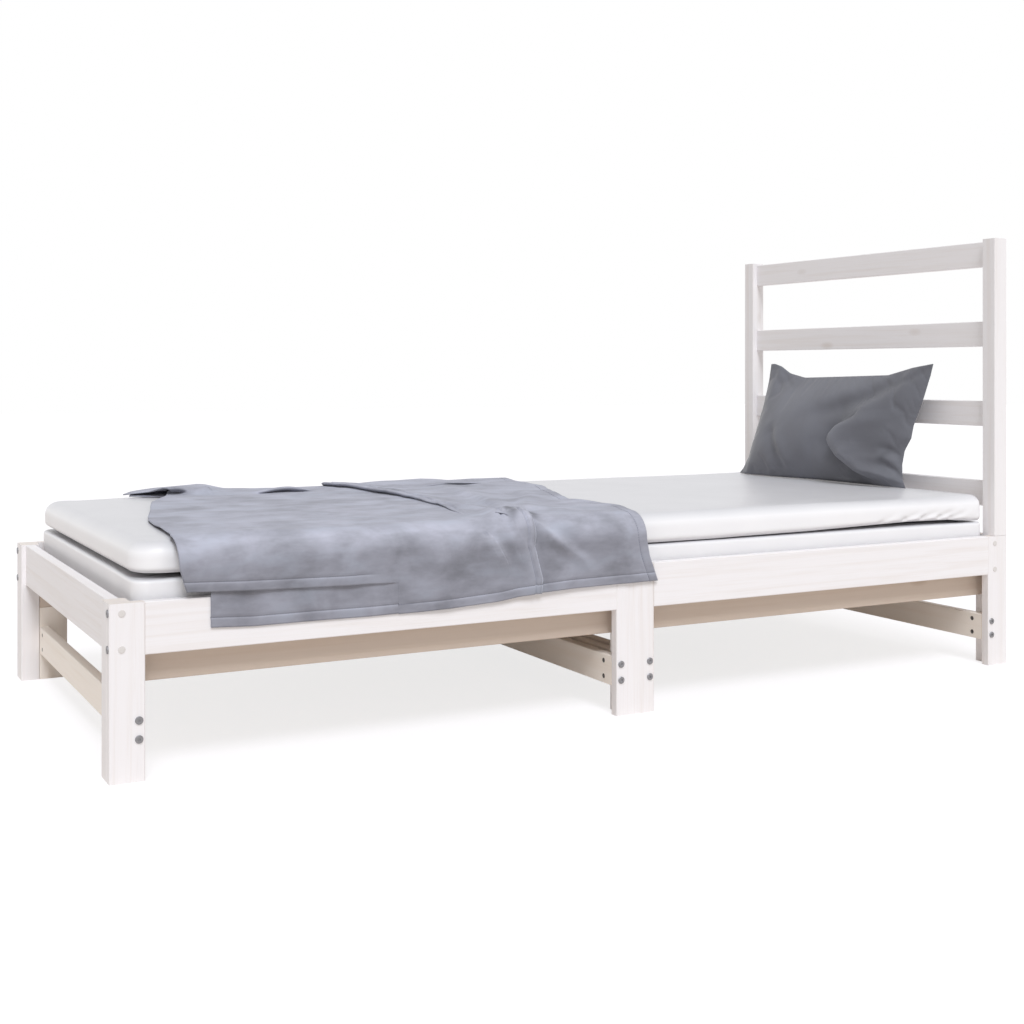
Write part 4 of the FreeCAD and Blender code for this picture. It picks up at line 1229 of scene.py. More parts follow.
# %% The throw's outline
# Five lines cross the upper layer, and its columns follow them: the left edge, the long ridge,
# the two folds of the gathered spot and the right edge. Each has its places from front to
# wall, and x at each.
ON_TOP = {
    "left": ((-443, -403, -320, -230, -145, -92, 33, 125, 214, 289, 353, 380, 432, 451),
             (-939, -929, -921, -915, -905, -893, -858, -835, -810, -772, -733, -765, -824, -800)),
    "ridge": ((-396, -235, -74, 73, 150, 279, 341, 451),
              (-343, -310, -286, -281, -291, -304, -310, -326)),
    "nip": ((-440, -428, -386, -331, -250, 159, 451), (-290, -276, -257, -245, -238, -175, -165)),
    "knot": ((-436, -409, -379, -324, -193, 159, 330, 451),
             (-240, -224, -212, -206, -190, -102, -80, -60)),
    "right": ((-440, -332, -239, -158, 25, 199, 331, 451), (18, 51, 40, 30, 92, 160, 165, 188)),
}
# Where the upper hem ends and the layers meet, two columns lie close together.
MEETING_X = -523.5
# The same lines where the cloth hangs: levels from the hem up.
HANGING = {
    "left": ((313, 330, 354, 387, 400), (-920, -925, -932, -939, -941)),
    "ridge": ((250, 304, 330, 360, 384), (-296, -300, -306, -323, -343)),
    "nip": ((275, 342, 374, 403), (-262, -272, -280, -287)),
    "knot": ((275, 309, 342, 374, 403), (-224, -232, -239, -248, -254)),
    "right": ((266, 271, 292, 320, 340, 363, 391), (51, 49, 41, 30, 26, 22, 18)),
}
# The two hems, from the foot to the head of the bed.
UPPER_HEM_AT = (-920, -836, -749, -659, -585, -528)
UPPER_HEM = (315, 312, 309, 307, 306, 303)
LOWER_HEM_AT = (-881, -801, -695, -584, -482, -415, -317, -272, -223, -156, -67, 48)
LOWER_HEM = (251, 247, 247, 246, 247, 249, 254, 260, 264, 267, 268, 269)
# How far in from the upper layer's sides the under layer's are.
UNDER_SETBACK = 43.0
UNDER_INSET = 20
print("Throw about", ON_TOP["right"][1][2] - ON_TOP["left"][1][2], "mm wide")

# %% [markdown]
# Rows run across the bed and columns along the cloth. Both lie closest where the cloth bends
# most: at the hems, at the sides, and across the long ridge and the gathered spot. Two columns
# beside each other mark where the upper hem ends, and both layers meet there.

# %% The throw's rows and columns
# Each row has a place along the cloth: ("top", y), ("bend", turn), ("hang", share) or ("hem",
# height above the hem).
HEM_ROWS = (0.0, 2.5, 8.0, 13.0, 16.0, 17.4, 18.6, 20.0, 24.0, 30.0)
# The columns: stops beside each side, steps across the ridge and the gathered spot, and the
# counts of columns between them.
LEFT_COLUMNS = np.array((0.0, 3.0, 8.0, 14.0))
RIGHT_COLUMNS = np.array((26.0, 22.0, 20.6, 19.4, 18.0, 13.0, 7.0, 3.0, 0.0))
MEETING = np.array((-0.5, 0.5))
PLEAT = np.linspace(-PLEAT_WIDTH / 2, PLEAT_WIDTH / 2, 15)
BETWEEN = (46, 20, 12, 7, 44)


def layer_rows(marks, bend_rows, hang_rows):
    """Rows of one layer, from the wall side to its hem. marks say how close those on top lie."""
    rows = [("top", y) for y in -steps_between(-BACK, -BEND_Y, marks)[:-1]]
    rows += [("bend", math.pi / 2 * step / bend_rows) for step in range(bend_rows + 1)]
    rows += [("hang", share) for share in np.linspace(0, 1, hang_rows + 1)[1:-1]]
    rows += [("hem", above) for above in reversed(HEM_ROWS)]
    return rows


def spread_columns(left, ridge, nip, knot, right):
    """Where the columns of a row are, from its left edge to its right one."""
    groups = [left + LEFT_COLUMNS, MEETING_X + MEETING, ridge + PLEAT, nip + PLEAT,
              knot + PLEAT, right - RIGHT_COLUMNS]
    found = [groups[0]]
    for before, after, count in zip(groups, groups[1:], BETWEEN):
        found += [np.linspace(before[-1], after[0], count + 2)[1:-1], after]
    return np.concatenate(found)


print("Columns across the ridge:", len(PLEAT))

# %% [markdown]
# Each row is laid on a bare form first: level on the mattress, a quarter circle over its front
# edge, and upright before the rail. With every point goes the way that is outward there, along
# which the folds are lifted next.

# %% Laying the net on the bed
# How far below the bend the hanging cloth's lines are read, and where the under layer's sides
# come out from below the upper one's, towards the fold at the wall.
READ_BELOW = 75
UNDER_EASES = (250, 430)
# Where the hanging cloth's sides flare, from the inside out.
LEFT_FLARE = (-880, -700)
RIGHT_FLARE = (-200, 0)
BELOW_UNDER_HEM = 1.0


def lay_row(row, under):
    """A row's points on the bare form, the way that is outward there, and where its three
    pleats are."""
    kind, along = row
    if kind == "top":
        lines = [np.interp(along, *ON_TOP[name]) for name in ON_TOP]
        y, z, out = along, MATTRESS_TOP, (0, 0, 1)
    elif kind == "bend":
        share = along / (math.pi / 2)
        lines = [(1 - share) * np.interp(BEND_Y, *ON_TOP[name])
                 + share * np.interp(BEND_Z, *HANGING[name]) for name in ON_TOP]
        y = BEND_Y - BEND * math.sin(along)
        z = BEND_Z + BEND * math.cos(along)
        out = (0, -math.sin(along), math.cos(along))
    else:
        share = along if kind == "hang" else 1
        lines = [np.interp(BEND_Z - READ_BELOW * share, *HANGING[name]) for name in ON_TOP]
        y, out = RAIL_FACE, (0, -1, 0)
    if under:
        loose = 1 - softly(*UNDER_EASES, along) if kind == "top" else 1.0
        lines[0] += UNDER_SETBACK * loose
        lines[-1] -= UNDER_INSET * loose
    x = spread_columns(*lines)
    hem = np.interp(x, LOWER_HEM_AT, LOWER_HEM)
    if not under:
        hem = np.where(x < MEETING_X, np.interp(x, UPPER_HEM_AT, UPPER_HEM),
                       hem - BELOW_UNDER_HEM)
    if kind == "hang":
        z = BEND_Z + (hem + HEM_ROWS[-1] - BEND_Z) * along
    elif kind == "hem":
        z = hem + along
    points = np.empty((len(x), 3))
    points[:, 0] = x
    points[:, 1] = y
    points[:, 2] = z
    if kind in ("hang", "hem"):
        flare = np.interp(z, *HANGING["right"]) - lines[-1] - (UNDER_INSET if under else 0)
        points[:, 0] += flare * softly(*RIGHT_FLARE, x)
        flare = np.interp(z, *HANGING["left"]) - lines[0] + (UNDER_SETBACK if under else 0)
        points[:, 0] += flare * (1 - softly(*LEFT_FLARE, x))
    return (points, np.tile(out, (len(x), 1)).astype(float),
            np.tile(lines[1:-1], (len(x), 1)))


print("Sides flare over", RIGHT_FLARE, "and", LEFT_FLARE)

# %% Both layers' bare nets
# How close the rows on top lie, from the wall side to the front: (as far as this -y, step).
ROWS_ABOVE = ((-400, 8), (-270, 3.4), (150, 11), (290, 7), (430, 4.4))
ROWS_BELOW = ((430, 26),)
upper_rows = layer_rows(ROWS_ABOVE, bend_rows=14, hang_rows=12)
under_rows = layer_rows(ROWS_BELOW, bend_rows=8, hang_rows=14)
upper_net = [lay_row(row, False) for row in upper_rows]
under_net = [lay_row(row, True) for row in under_rows]
print("Rows", len(upper_net), "and", len(under_net), "columns", len(upper_net[0][0]))

# %% [markdown]
# The folds are lines on that form. The long one is a real pleat: the cloth turns back under
# itself and forward again, so its edge overhangs, and the doubled cloth beside it stands higher.
# Near the front edge the cloth is gathered as if pinched, and folds run down from there to the
# hem. At the wall side the doubled cloth stands up a little, by the heights that its outline
# shows, and in three places it is pushed into a small open pocket.

# %% Where the throw folds
TOP_Z = MATTRESS_TOP + 5
HANG_Y = RAIL_FACE - 8
THROW_FOLDS = (
    # The mound at the gathered spot.
    ([(-232, -250, TOP_Z, 1), (-246, -330, TOP_Z, 5), (-262, -400, TOP_Z, 6),
      (-270, -450, TOP_Z - 3, 4)], 60, 30),
    # Folds that meet there.
    ([(-60, 330, TOP_Z, 2), (-102, 159, TOP_Z, 5), (-120, 57, TOP_Z, 7), (-176, -193, TOP_Z, 9),
      (-196, -290, TOP_Z, 4)], 16, 34),
    ([(60, 160, TOP_Z, 1), (-20, -60, TOP_Z, 6), (-110, -200, TOP_Z, 8), (-165, -320, TOP_Z, 5)],
     18, 28),
    ([(-300, -160, TOP_Z, 0), (-272, -230, TOP_Z, 6), (-256, -300, TOP_Z, 5)], 14, 12),
    ([(-240, -236, TOP_Z, -6), (-231, -287, TOP_Z, -10), (-226, -306, TOP_Z, -4)], 14, 12),
    ([(-214, -150, TOP_Z, -4), (-204, -178, TOP_Z, -7), (-190, -215, TOP_Z, -4)], 22, 18),
    # Folds and valleys on the hanging part.
    ([(-352, -446, TOP_Z - 4, 0), (-344, HANG_Y, 389, 7), (-323, HANG_Y, 366, 10),
      (-309, HANG_Y, 343, 10), (-298, HANG_Y, 326, 6), (-292, HANG_Y, 300, 0)], 26, 9),
    ([(-289, -460, TOP_Z - 8, -6), (-272, HANG_Y, 383, -9), (-270, HANG_Y, 360, -8),
      (-270, HANG_Y, 330, 0)], 12, 12),
    ([(-232, -458, TOP_Z - 4, 5), (-205, HANG_Y, 375, 11), (-180, HANG_Y, 352, 9),
      (-130, HANG_Y, 318, 4), (-100, HANG_Y, 280, 0)], 9, 15),
    ([(-160, HANG_Y, 384, -3), (-130, HANG_Y, 356, -6), (-80, HANG_Y, 328, -3)], 14, 14),
    ([(-60, -430, TOP_Z, 3), (-40, HANG_Y, 370, 6), (-22, HANG_Y, 320, 5), (-10, HANG_Y, 275, 3)],
     20, 14),
    ([(-640, HANG_Y, 372, 0), (-636, HANG_Y, 340, 4), (-628, HANG_Y, 305, 4)], 34, 30),
    ([(-820, HANG_Y, 370, 0), (-812, HANG_Y, 340, 4), (-806, HANG_Y, 312, 4)], 30, 26),
    ([(-430, HANG_Y, 380, 2), (-425, HANG_Y, 340, 5), (-420, HANG_Y, 300, 3)], 40, 30),
)
print("Folds on the throw:", len(THROW_FOLDS))

# %% Where it stands up and opens
# The height of the doubled cloth at the wall side, from foot to head.
WALL_LIFT_AT = (-824, -807, -750, -689, -648, -627, -599, -585, -509, -330, -240, -200, -151, -61,
                17, 95, 152)
WALL_LIFT = (0, 3, 9, 12, 15, 13, 6, 3, 0, 0, 1.5, 4, 6, 8, 1, 1, 0)
# A pocket's path from the wall side to the front: (along, share of its height).
POCKET_PATH = np.array(((44, 0), (24, 0.7), (6, 1.0), (-6, 0.95), (-10, 0.75), (-4, 0.52),
                        (16, 0.4), (21, 0.2), (14, 0.04), (-8, 0), (-30, 0)))
# Each pocket: its middle and half width along x, its mouth's y, and its height.
POCKETS = ((-480, 84, 292, 13), (-738, 52, 346, 9), (-30, 100, 300, 5))
# How far behind its mouth a pocket starts, and how long its path's room is.
POCKET_REACH = (44, 74)
print("Open pockets:", len(POCKETS))

# %% [markdown]
# Every point is lifted along its outward way by the sum of its folds, a soft random rumple and
# the cloth's own thickness. The pleats and the pockets move it sideways too, so they overhang.
# Where the two layers meet at the hem, they lie flush, so nothing is lifted there.

# %% Lifting the folds
UNDER_LIFT = 1.5
UPPER_LIFT = 4.3
FLUSH_DROP = 2.5
LEAST_LIFT = 0.6
MOST_ON_TOP = 20.0
MOST_HANGING = 8.0
# Valleys between folds go no deeper than this.
DEEPEST = 1.2
# Where the doubled cloth starts to stand up, and nearer the foot, left of FOOT_PART.
WALL_RISE = (300, 420)
FOOT_RISE = (330, 372)
FOOT_PART = -640
# Each rumple: how long its waves are, its seed and its height.
LONG_RUMPLE = (130, 3, 3.6)
SHORT_RUMPLE = (50, 11, 1.1)


def rumple(points, wavelength, seed):
    """Smooth random lift between about -1 and 1."""
    return np.array([noise.noise(Vector((p / wavelength).tolist()) + Vector((seed, 0, 0)))
                     for p in points])


def soft_lift(points, on_top):
    """The folds, the rise at the wall side and the rumples, added up at each point."""
    x, y = points[:, 0], points[:, 1]
    lift = np.zeros(len(points))
    for line, left, right in THROW_FOLDS:
        lift += crease(points, line, left, right)
    wall_side = softly(*WALL_RISE, y) + (x < FOOT_PART) * (softly(*FOOT_RISE, y)
                                                           - softly(*WALL_RISE, y))
    lift += np.interp(x, WALL_LIFT_AT, WALL_LIFT) * wall_side * on_top
    wavelength, seed, height = LONG_RUMPLE
    lift += height * (rumple(points, wavelength, seed) + 0.25) * (0.5 + 0.5 * on_top)
    wavelength, seed, height = SHORT_RUMPLE
    lift += height * rumple(points, wavelength, seed)
    return np.where(lift < 0, DEEPEST * np.tanh(lift / DEEPEST), lift)


print("Folds on top stand up to", MOST_ON_TOP, "mm high")

# %% Pleats and pockets
# The height at which a pleat is fully laid, and how wide the cloth beside it slopes down.
FULLY_LAID = 5.5
BESIDE_RIDGE = 90
BESIDE_KNOT = 44
BESIDE_NIP = 40


def pleat_heights(y, z, on_top):
    """How high the long ridge, the nip and the knot stand along the cloth."""
    ridge = softly(-410, -180, y) * on_top
    ridge *= (5.5 + 6.5 * softly(-200, 150, y)) * (1 - 0.2 * softly(380, 450, y))
    knot = (1 - softly(-345, -300, y)) * (4.5 + 6.0 * on_top) * softly(190, 290, z)
    nip = (1 - softly(-338, -300, y)) * 8.0 * softly(-448, -412, y)
    return ridge, nip, knot


def lay_pleat(moved, x, outwards, middle, height, side):
    """Move the points of one pleat to its path. Its edge looks left if side is 1."""
    share = np.clip(side * (x - middle) / PLEAT_WIDTH + 0.5, 0, 1)
    across, up = along_path(PLEAT_PATH, share)
    inside = (share > 0) & (share < 1)
    strength = np.clip(height / FULLY_LAID, 0, 1)
    sideways = across + PLEAT_WIDTH / 2 - PLEAT_WIDTH * share
    moved[:, 0] += inside * strength * side * sideways
    moved += outwards * (inside * height * up / PLEAT_HEIGHT)[:, None]


def open_pocket(moved, x, y, middle, half, mouth, tall):
    """Move the points of one pocket to its path."""
    weight = np.cos(np.clip((x - middle) / half, -1, 1) * math.pi / 2) ** 1.2
    share = np.clip((mouth + POCKET_REACH[0] - y) / POCKET_REACH[1], 0, 1)
    forward, up = along_path(POCKET_PATH, share)
    inside = (share > 0) & (share < 1)
    moved[:, 1] += inside * weight * (mouth + forward - y)
    moved[:, 2] += inside * weight * tall * up


print("A pleat is fully laid where it stands", FULLY_LAID, "mm high")

# %% Folding a layer
# Where the layers lie flush, from the foot to the head, and below which level.
FLUSH_FROM = (-562, -527)
FLUSH_TO = (-515, -420)
FLUSH_BELOW = (352, 392)


def folded(points, outwards, marks, under):
    """Lift a layer's points by its thickness and its folds, and lay its pleats and pockets."""
    x, y, z = points.T
    ridge, nip, knot = marks.T
    on_top = softly(BEND_Z, MATTRESS_TOP, z)
    lift = soft_lift(points, on_top)
    flush = softly(*FLUSH_FROM, x) * (1 - softly(*FLUSH_TO, x)) * (1 - softly(*FLUSH_BELOW, z))
    if under:
        pressed = np.clip(0.2 * lift, 0, 0.8) * (1 - flush)
        return points + outwards * (UNDER_LIFT + pressed)[:, None]
    ridge_height, nip_height, knot_height = pleat_heights(y, z, on_top)
    lift = np.clip(lift, -LEAST_LIFT, np.where(on_top > 0.5, MOST_ON_TOP, MOST_HANGING))
    # The doubled cloth beside each pleat stands higher, and slopes down away from it.
    beyond = x - ridge - PLEAT_WIDTH / 2
    lift += ridge_height * (beyond > 0) * (1 - softly(0, BESIDE_RIDGE, beyond))
    beyond = knot - PLEAT_WIDTH / 2 - x
    lift += knot_height * (beyond > 0) * (1 - softly(0, BESIDE_KNOT, beyond))
    beyond = nip - PLEAT_WIDTH / 2 - x
    lift += nip_height * (beyond > 0) * (1 - softly(0, BESIDE_NIP, beyond))
    lift = (lift + LEAST_LIFT) * (1 - flush)
    moved = points + outwards * (UPPER_LIFT - FLUSH_DROP * flush + lift)[:, None]
    lay_pleat(moved, x, outwards, ridge, ridge_height, 1)
    lay_pleat(moved, x, outwards, nip, nip_height, -1)
    lay_pleat(moved, x, outwards, knot, knot_height, -1)
    for pocket in POCKETS:
        open_pocket(moved, x, y, *pocket)
    return moved


print("The layers lie flush below", FLUSH_BELOW[0], "mm")

# %% Pressing the stitch lines in
# The stitches run along one row above each hem, and one column beside the right edge. There
# and beside them the thread pulls the cloth in, by these depths.
STITCH_ROW = 5
STITCH_COLUMN = -6
HEM_GROOVE = {4: 0.5, STITCH_ROW: 1.3, 6: 0.5}
SIDE_GROOVE = {-7: 0.9, STITCH_COLUMN: 0.9}
# Near the meeting column the upper hem isn't pressed in.
UNPRESSED_FROM = (-600, -560)
UNPRESSED_TO = (-515, -490)


def finished_layer(net, under):
    """A layer's rows with its folds, and with its stitch lines pressed in beside the hems."""
    points, outwards, marks = (np.concatenate(part) for part in zip(*net))
    shape = (len(net), -1, 3)
    found = folded(points, outwards, marks, under).reshape(shape)
    outwards = outwards.reshape(shape)
    x = found[-1, :, 0]
    pressed = 1 - (not under) * softly(*UNPRESSED_FROM, x) * (1 - softly(*UNPRESSED_TO, x))
    for row, depth in HEM_GROOVE.items():
        found[-1 - row] -= outwards[-1 - row] * (depth * pressed)[:, None]
    for column, depth in SIDE_GROOVE.items():
        found[:, column] -= outwards[:, column] * depth
    return found


upper_layer = finished_layer(upper_net, False)
under_layer = finished_layer(under_net, True)
print("Highest point of the throw", upper_layer[:, :, 2].max().round(1), "mm")

# %% [markdown]
# Along the folds, shade is painted into the suede's colour: painted shade in the creases and
# hollows, and painted highlight on the crests and the bend. It is kept on the mesh, as on the
# pillow, and lies on the same lines as the folds.

# %% Where shade and highlight are painted on the throw
THROW_PAINTED_SHADE = (
    # Painted shade in the two creases of the gathered spot, and a painted highlight beside them.
    ([(-226, -318, MATTRESS_TOP, -0.3), (-230, -339, MATTRESS_TOP, -0.6),
      (-242, -386, MATTRESS_TOP, -0.65), (-259, -428, MATTRESS_TOP, -0.6),
      (-274, -452, MATTRESS_TOP - 4, -0.3)], 6, 9),
    ([(-206, -316, MATTRESS_TOP, -0.3), (-199, -340, MATTRESS_TOP, -0.65),
      (-196, -379, MATTRESS_TOP, -0.65), (-206, -420, MATTRESS_TOP, -0.65),
      (-224, -446, MATTRESS_TOP - 3, -0.4)], 6, 10),
    ([(-226, -385, MATTRESS_TOP, 0.10), (-238, -436, MATTRESS_TOP - 2, 0.16)], 10, 8),
    # Painted highlight streaks and painted shade in the hollows beside them on the hanging part.
    ([(-352, RAIL_FACE + 6, 398, 0.06), (-344, RAIL_FACE, 389, 0.16),
      (-323, RAIL_FACE, 366, 0.20), (-309, RAIL_FACE, 343, 0.18), (-298, RAIL_FACE, 326, 0.10),
      (-290, RAIL_FACE, 305, 0)], 12, 7),
    ([(-306, RAIL_FACE, 385, -0.08), (-288, RAIL_FACE, 360, -0.12),
      (-277, RAIL_FACE, 328, -0.06)], 10, 14),
    ([(-289, RAIL_FACE + 8, 395, -0.14), (-272, RAIL_FACE, 383, -0.18),
      (-263, RAIL_FACE, 369, -0.14), (-258, RAIL_FACE, 345, 0)], 8, 8),
    ([(-226, RAIL_FACE + 8, 402, 0.14), (-205, RAIL_FACE, 375, 0.22),
      (-194, RAIL_FACE, 365, 0.18), (-170, RAIL_FACE, 348, 0.10), (-130, RAIL_FACE, 322, 0)],
     8, 12),
    ([(-190, RAIL_FACE, 398, -0.10), (-160, RAIL_FACE, 375, -0.14),
      (-125, RAIL_FACE, 350, -0.12), (-80, RAIL_FACE, 330, -0.04)], 14, 16),
    # A painted highlight on the crest that runs down from the gathered spot, and painted shade
    # beside it.
    ([(-264, RAIL_FACE + 6, 402, 0.08), (-258, RAIL_FACE, 374, 0.12),
      (-249, RAIL_FACE, 342, 0.12), (-242, RAIL_FACE, 309, 0.10), (-234, RAIL_FACE, 280, 0.06)],
     10, 4),
    ([(-240, RAIL_FACE + 6, 402, -0.16), (-234, RAIL_FACE, 374, -0.18),
      (-225, RAIL_FACE, 342, -0.16), (-218, RAIL_FACE, 309, -0.14),
      (-210, RAIL_FACE, 278, -0.10)], 3, 14),
    # A painted highlight along the bend over the mattress's edge.
    ([(-920, BEND_Y - 34, BEND_Z + 34, 0.08), (-380, BEND_Y - 34, BEND_Z + 34, 0.08)], 16, 16),
    ([(-130, BEND_Y - 34, BEND_Z + 34, 0.06), (20, BEND_Y - 34, BEND_Z + 34, 0.06)], 16, 16),
)
bare = np.concatenate([net[0] for net in upper_net])
upper_painted_shade = sum(crease(bare, line, left, right) for line, left, right in THROW_PAINTED_SHADE)
print("Tone from", upper_painted_shade.min().round(2), "to", upper_painted_shade.max().round(2))

# %% [markdown]
# The two layers are one sheet, so rows on a half circle join them at the wall side. The sheet
# then gets its thickness from a Solidify modifier, evenly to both sides.

# %% Joining the layers round the fold at the wall side
TURN_ROWS = 6
TURN_REACH = 6.0
SUEDE_THICK = 2.4
middle = (upper_layer[0] + under_layer[0]) / 2
half = (upper_layer[0] - under_layer[0]) / 2
turn_rows = []
for step in range(1, TURN_ROWS):
    turn = math.pi * step / TURN_ROWS
    row = middle - half * math.cos(turn)
    row[:, 1] += np.minimum(0.8 * np.abs(half[:, 2]), TURN_REACH) * math.sin(turn)
    turn_rows.append(row)
rows = np.concatenate([under_layer[::-1], turn_rows, upper_layer])
columns = rows.shape[1]
faces = []
for row in range(len(rows) - 1):
    for column in range(columns - 1):
        at = row * columns + column
        faces.append((at, at + 1, at + columns + 1, at + columns))
throw = mesh_object("throw_suede", rows.reshape(-1, 3), faces)
# The upper layer carries the painted shade and highlight; the under layer and the turn are plain.
plain_points = rows.shape[0] * columns - len(upper_painted_shade)
keep_painted_shade(throw, np.concatenate([np.zeros(plain_points), upper_painted_shade]))
thicken = throw.modifiers.new("thickness", "SOLIDIFY")
thicken.thickness = SUEDE_THICK * MM
thicken.offset = 0
plain_mesh(throw)
print("Throw", len(throw.data.polygons), "faces")

# %% [markdown]
# Brushed microfibre suede has a short nap that lies in patches, so it looks mottled in lilac
# grey and blue grey, and it brightens towards grazing light. The patches are 40 to 110 mm wide.
# The nap itself is drawn as grain 2 mm wide, and sheen gives the bright edge. The level part is
# painted lighter and the upright part darker, as painted light from above.

# %% The throw's suede
PATCH_MM = 95
STREAK_MM = (110, 60, 42)
NAP_MM = 2.0
suede, tree = empty_finish("brushed_microfibre_suede")
place = add(tree, "ShaderNodeTexCoord")
patches = add(tree, "ShaderNodeTexNoise", {"Vector": place.outputs["Object"],
                                           "Scale": 1000 / PATCH_MM, "Detail": 4.0,
                                           "Roughness": 0.55,
                                           "Distortion": 0.5})
streaks = add(tree, "ShaderNodeMapping", {"Vector": place.outputs["Object"],
                                          "Scale": [1000 / size for size in STREAK_MM]})
streaks = add(tree, "ShaderNodeTexNoise", {"Vector": streaks.outputs[0], "Scale": 1.0,
                                           "Detail": 4.0, "Roughness": 0.6})
nap = add(tree, "ShaderNodeTexNoise", {"Vector": place.outputs["Object"],
                                       "Scale": 1000 / NAP_MM, "Detail": 2.0})
both = add(tree, "ShaderNodeMath", {0: patches.outputs["Fac"], 1: streaks.outputs["Fac"]},
           operation="ADD")
mottle = add(tree, "ShaderNodeMapRange", {"Value": both.outputs[0], "From Min": 0.72,
                                          "From Max": 1.24})
tone = add(tree, "ShaderNodeMix", {0: mottle.outputs[0], 6: colour("#8c8d96"),
                                   7: colour("#b4b5c2")}, data_type="RGBA")
# The level part is painted lighter and the upright part darker, as painted light from above; the
# blue tone is scaled the same way.
sides = add(tree, "ShaderNodeSeparateXYZ", {0: place.outputs["Normal"]})
level = add(tree, "ShaderNodeMapRange", {"Value": sides.outputs[2], "From Min": -0.1,
                                         "From Max": 0.75, "To Min": 0.73, "To Max": 1.2})
tone = add(tree, "ShaderNodeVectorMath", {0: tone.outputs[2], 3: level.outputs[0]},
           operation="SCALE")
hue = add(tree, "ShaderNodeMapRange", {"Value": streaks.outputs["Fac"], "From Min": 0.5,
                                       "From Max": 0.68, "To Max": 0.4})
blue = add(tree, "ShaderNodeVectorMath", {0: colour("#a2a9b6")[:3], 3: level.outputs[0]},
           operation="SCALE")
tone = add(tree, "ShaderNodeMix", {0: hue.outputs[0], 6: tone.outputs[0],
                                   7: blue.outputs[0]}, data_type="RGBA")
relief = add(tree, "ShaderNodeBump", {"Strength": 0.3, "Distance": 0.0006,
                                      "Height": nap.outputs["Fac"]})
relief = add(tree, "ShaderNodeBump", {"Strength": 0.25, "Distance": 0.003,
                                      "Height": patches.outputs["Fac"],
                                      "Normal": relief.outputs[0]})
# Its colour also carries the painted fold shade kept on the mesh.
cloth = add(tree, "ShaderNodeBsdfPrincipled", {"Base Color": with_painted_shade(tree, tone.outputs[2]),
                                               "Roughness": 0.85,
                                               "Sheen Weight": 0.55, "Sheen Roughness": 0.45,
                                               "Sheen Tint": colour("#dfe2ee"),
                                               "Specular IOR Level": 0.2,
                                               "Normal": relief.outputs[0]})
add(tree, "ShaderNodeOutputMaterial", {"Surface": cloth.outputs[0]})
throw.data.materials.append(suede)
print("Throw finish", suede.name)

# %% [markdown]
# Both hems and the right edge are turned in and sewn down. A sewing machine's stitches are a
# thread that dips into the cloth every few millimetres. They follow lines of the net, so
# Geometry Nodes walk along those lines and set one short stitch after another. The pitch is
# 5 mm, a little longer than a real 3.5 mm stitch, so that single ones can be told apart.

# %% A node tree that sews along a line
STITCH_PITCH = 0.005
STITCH_LENGTH = 0.0032
THREAD_RADIUS = 0.00045
STITCH_SEED = 3
STITCH_SIDES = 6
sewing_tree, given = new_tree("sew_along", {
    "Pitch": ("NodeSocketFloat", STITCH_PITCH),
    "Stitch Length": ("NodeSocketFloat", STITCH_LENGTH),
    "Thread Radius": ("NodeSocketFloat", THREAD_RADIUS),
    "Thread": ("NodeSocketMaterial", None),
    "Seed": ("NodeSocketInt", STITCH_SEED),
})
line = add(sewing_tree, "GeometryNodeMeshToCurve", {"Mesh": given.outputs["Geometry"]})
spots = add(sewing_tree, "GeometryNodeCurveToPoints", {"Curve": line.outputs[0],
                                                       "Length": given.outputs["Pitch"]},
            mode="LENGTH")
stitch = add(sewing_tree, "GeometryNodeMeshCylinder", {"Vertices": STITCH_SIDES,
                                                       "Side Segments": 1,
                                                       "Radius": given.outputs["Thread Radius"],
                                                       "Depth": given.outputs["Stitch Length"]})
aimed = add(sewing_tree, "FunctionNodeAlignRotationToVector",
            {"Vector": spots.outputs["Tangent"]}, axis="Z")
wobble = add(sewing_tree, "FunctionNodeRandomValue", {2: 0.85, 3: 1.1,
                                                      "Seed": given.outputs["Seed"]},
             data_type="FLOAT")
sewn = add(sewing_tree, "GeometryNodeInstanceOnPoints", {
    "Points": spots.outputs["Points"], "Instance": stitch.outputs["Mesh"],
    "Rotation": aimed.outputs[0], "Scale": wobble.outputs[1]})
real = add(sewing_tree, "GeometryNodeRealizeInstances", {0: sewn.outputs[0]})
done = add(sewing_tree, "GeometryNodeSetMaterial", {"Geometry": real.outputs[0],
                                                    "Material": given.outputs["Thread"]})
add(sewing_tree, "NodeGroupOutput", {0: done.outputs[0]})
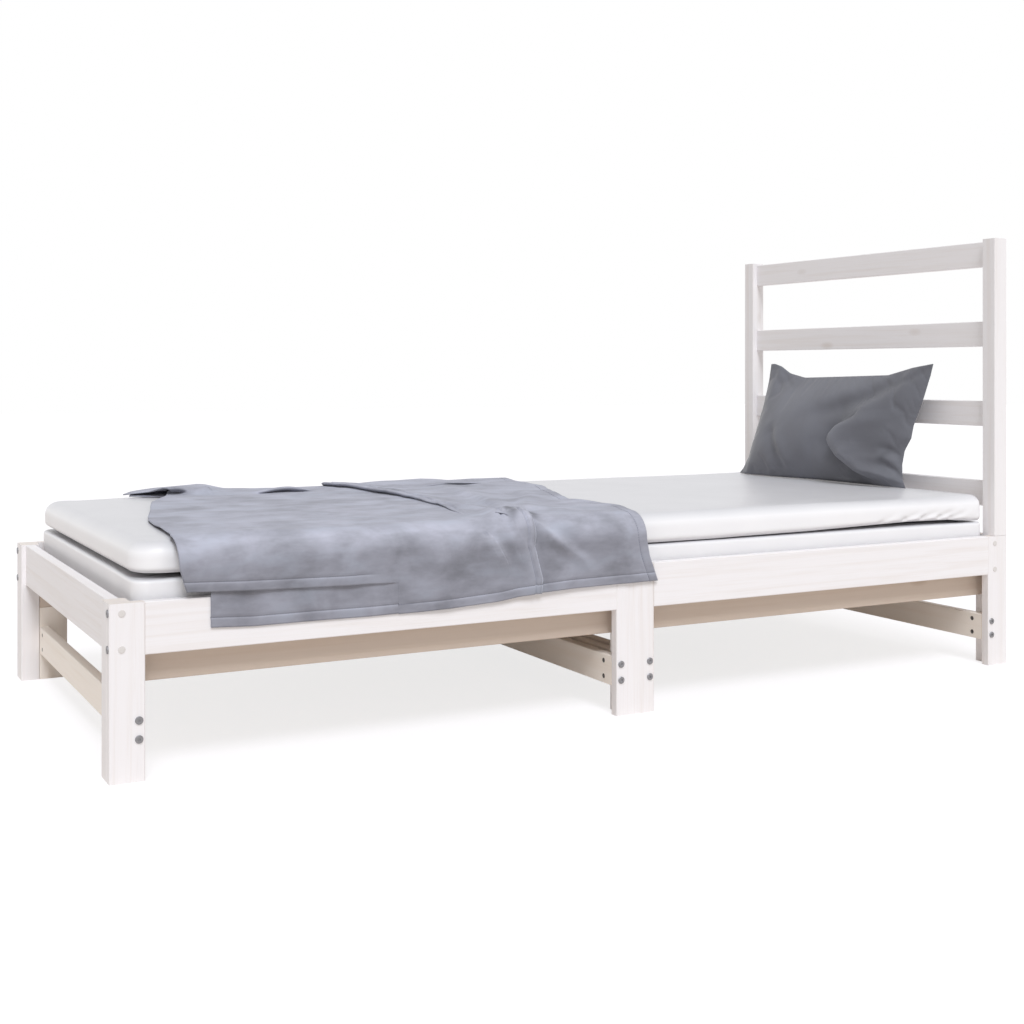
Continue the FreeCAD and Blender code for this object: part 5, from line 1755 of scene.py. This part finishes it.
print("Tree", sewing_tree.name, "has", len(sewing_tree.nodes), "nodes")

# %% [markdown]
# Polyester thread is a smooth, slightly shiny yarn, a little darker than the suede. Each line of
# stitches is a row or column of the net, lifted by about the cloth's half thickness, so that the
# thread lies on the surface. Where one layer covers the other's hem, no stitches are set.

# %% Sewing the hems
THREAD_OUT = 1.25
STITCHED_TO = -600
thread = speckled_finish("polyester_thread", "#6f7280", "#7d808d", 1.0, 0.0, 0.6, 0.05)


def line_mesh(name, lines):
    """Lines of points, in millimetres, as the edges of one mesh."""
    points, edges = [], []
    for line in lines:
        edges += [(len(points) + at, len(points) + at + 1) for at in range(len(line) - 1)]
        points += [tuple(point * MM) for point in line]
    mesh = bpy.data.meshes.new(name)
    mesh.from_pydata(points, edges, [])
    return mesh


toward_room = np.array([0, -THREAD_OUT, 0])
upper_stitches = upper_layer[-1 - STITCH_ROW] + toward_room
under_stitches = under_layer[-1 - STITCH_ROW] + toward_room
shows_upper = upper_stitches[:, 0] < STITCHED_TO
covers_under = upper_stitches[:, 0] > MEETING_X
shows_under = under_stitches[:, 0] < MEETING_X
side = [row[STITCH_COLUMN] + net[1][STITCH_COLUMN] * THREAD_OUT
        for row, net in zip(upper_layer, upper_net)]
hems = [upper_stitches[shows_upper], upper_stitches[covers_under], under_stitches[shows_under],
        np.array(side)]
stitches = grown("throw_stitches", line_mesh("hem_lines", hems), sewing_tree,
                 {"Pitch": STITCH_PITCH, "Stitch Length": STITCH_LENGTH,
                  "Thread Radius": THREAD_RADIUS, "Thread": thread, "Seed": STITCH_SEED})
print("Stitches", len(stitches.data.polygons) // (STITCH_SIDES + 2))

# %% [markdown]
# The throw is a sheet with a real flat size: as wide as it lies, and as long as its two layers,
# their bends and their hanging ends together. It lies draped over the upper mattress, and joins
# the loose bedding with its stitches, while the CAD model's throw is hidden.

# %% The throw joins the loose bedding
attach(stitches, "loose_bedding")
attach(throw, "loose_bedding")
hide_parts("throw")

# %% [markdown]
# Last, the scene is brought up to date.

# %% Finishing
bpy.context.view_layer.update()
